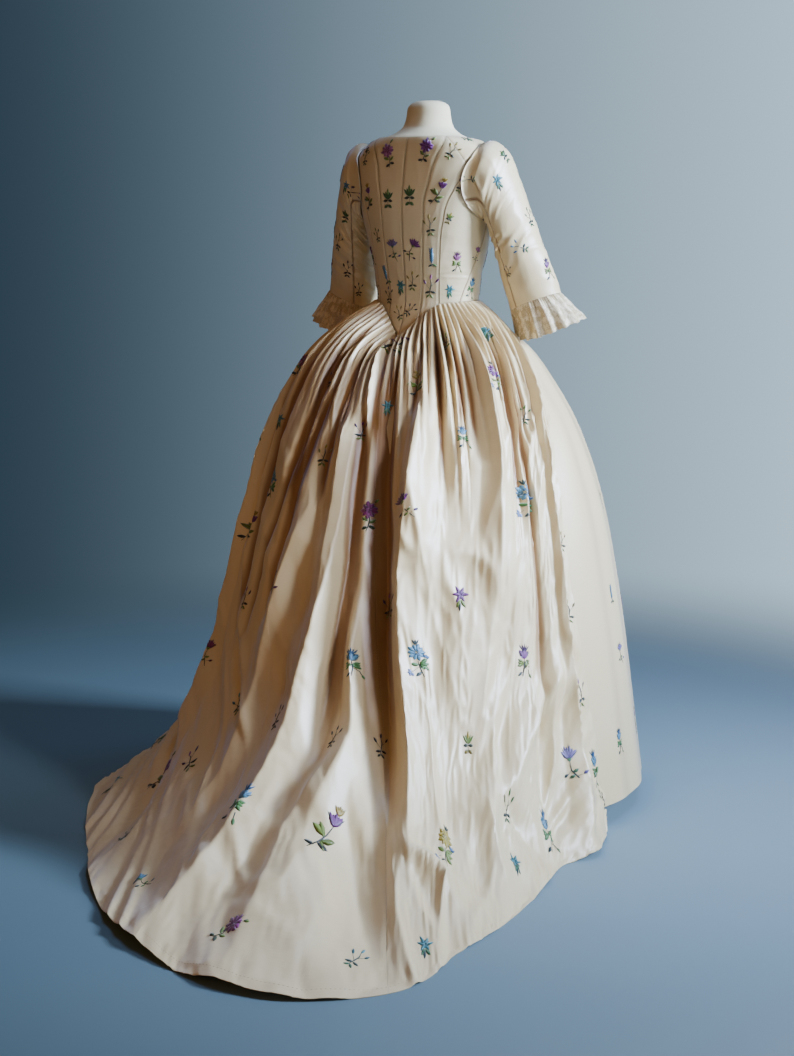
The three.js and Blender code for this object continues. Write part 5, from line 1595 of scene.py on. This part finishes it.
real = add(stitch_tree, "GeometryNodeRealizeInstances", {"Geometry": (placed, "Instances")})
dressed = add(
    stitch_tree, "GeometryNodeSetMaterial",
    {"Geometry": (real, "Geometry"), "Material": (sizes, "Thread")},
)  # fmt: skip
add(stitch_tree, "NodeGroupOutput", {"Stitches": (dressed, "Geometry")})


# %% One seam or several, as one piece of stitches
def sew(name, paths, spacing, long, wide, lean=0.0):
    """Stitches along paths of points; all sizes in millimetres."""
    places, edges = [], []
    for path in paths:
        first = sum(len(part) for part in places)
        edges += [(first + k, first + k + 1) for k in range(len(path) - 1)]
        places.append(np.asarray(path))
    mesh = bpy.data.meshes.new(name)
    mesh.from_pydata((np.concatenate(places) * MM).tolist(), edges, [])
    seam = bpy.data.objects.new(name, mesh)
    bpy.context.collection.objects.link(seam)
    modifier = seam.modifiers.new("stitches", "NODES")
    modifier.node_group = stitch_tree
    for label, value in (
        ("Spacing", spacing * MM), ("Length", long * MM), ("Width", wide * MM), ("Lean", lean),
        ("Thread", sewing_thread),
    ):  # fmt: skip
        modifier[stitch_inputs[label]] = value
    evaluated = seam.evaluated_get(bpy.context.evaluated_depsgraph_get())
    seam.data = bpy.data.meshes.new_from_object(evaluated)
    seam.modifiers.clear()
    declare(seam)
    print(f"{name}: {len(seam.data.polygons)} faces")


# %% Where the stitches run
HEM_ROW, STITCH_PROUD = 12.9, 0.35
BESIDE_SEAM = 1.9 * 57.3 / 105  # degrees round the bodice that are 1.9 mm
bodice_seams, cuff_lines = [], []
for side in SIDES:
    for column, top in (
        ("centre", NECKLINE), ("inner", NECKLINE), ("outer", STRAP_SEAM), ("side", SIDE_TOP),
    ):  # fmt: skip
        line = seam_line(column, side, top)
        angle, z = line(spread(0.02, 0.99, 70))
        for turn in (angle - BESIDE_SEAM, angle + BESIDE_SEAM):
            out = shoulder_lift(z) + BODICE_OUT + bodice_drag(turn, z) + STITCH_PROUD - 0.2
            bodice_seams.append(off_form(turn, z, out))
    turn = spread(0, 360, 90)
    cuff_lines.append(on_sleeve(side, turn, 0.985, -0.3))
waist_line = spread(-0.99, 0.99, 260)
waist_angle = waist_line * WAIST_SPREAD
waist_seam = off_form(waist_angle, waist_at(waist_angle) - 0.2, BODICE_OUT + 2.6)
hem_line = spread(-0.995, 0.995, 420)
seam_rows_down = spread(2.0, 12.95, 260)
skirt_seams = [on_skirt(across, seam_rows_down) for across in (-0.0025, 0.0025, 0.3018, 0.3068)]
sew("stitches_bodice_seams", bodice_seams, 3.4, 2.1, 0.5)
sew("stitches_waist", [waist_seam], 4.2, 3.4, 0.8, lean=1.1)
sew("stitches_hem", [on_skirt(hem_line, HEM_ROW) + (0, 0, STITCH_PROUD)], 8.0, 3.2, 0.7)
sew("stitches_skirt_seams", skirt_seams, 5.5, 3.0, 0.6)
sew("stitches_cuffs", cuff_lines, 4.4, 2.6, 0.8)

# %% [markdown]
# ## What each piece was cut to
# The size each piece of cloth was cut to before it was sewn is listed here, with how it is held on
# the gown, and each piece is looked up in the list. The cut is the width and length that the piece
# needs on the table, and the area is less where its edges are shaped.

# %% The cuts, in metres and square metres
cuts = {
    "bodice_back_centre": (0.09, 0.42, 0.025, "stretched"),
    "bodice_back_side": (0.09, 0.36, 0.018, "stretched"),
    "bodice_side": (0.13, 0.24, 0.025, "stretched"),
    "bodice_front": (0.24, 0.3, 0.048, "stretched"),
    "shoulder_strap": (0.09, 0.24, 0.014, "stretched"),
    "sleeve_upper": (0.3, 0.42, 0.082, "hung"),
    "sleeve_under": (0.17, 0.38, 0.036, "hung"),
    "cuff_ruffle": (0.5, 0.08, 0.038, "gathered"),
    "skirt_right": (1.25, 1.55, 1.05, "gathered"),
    "skirt_back": (0.62, 1.62, 0.62, "gathered"),
    "skirt_left": (1.2, 1.5, 1.05, "gathered"),
    "petticoat_back": (1.4, 1.04, 1.38, "gathered"),
    "petticoat_front": (1.4, 1.04, 1.38, "gathered"),
}
garment = {**bodice_pieces, **sleeve_pieces, **skirt_pieces, **petticoat_pieces}
for node, piece in garment.items():
    wide, long, area, held = cuts[node if node in cuts else node.rsplit("_", 1)[0]]
    if node.startswith("skirt"):
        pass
    elif "ruffle" in node:
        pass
    else:
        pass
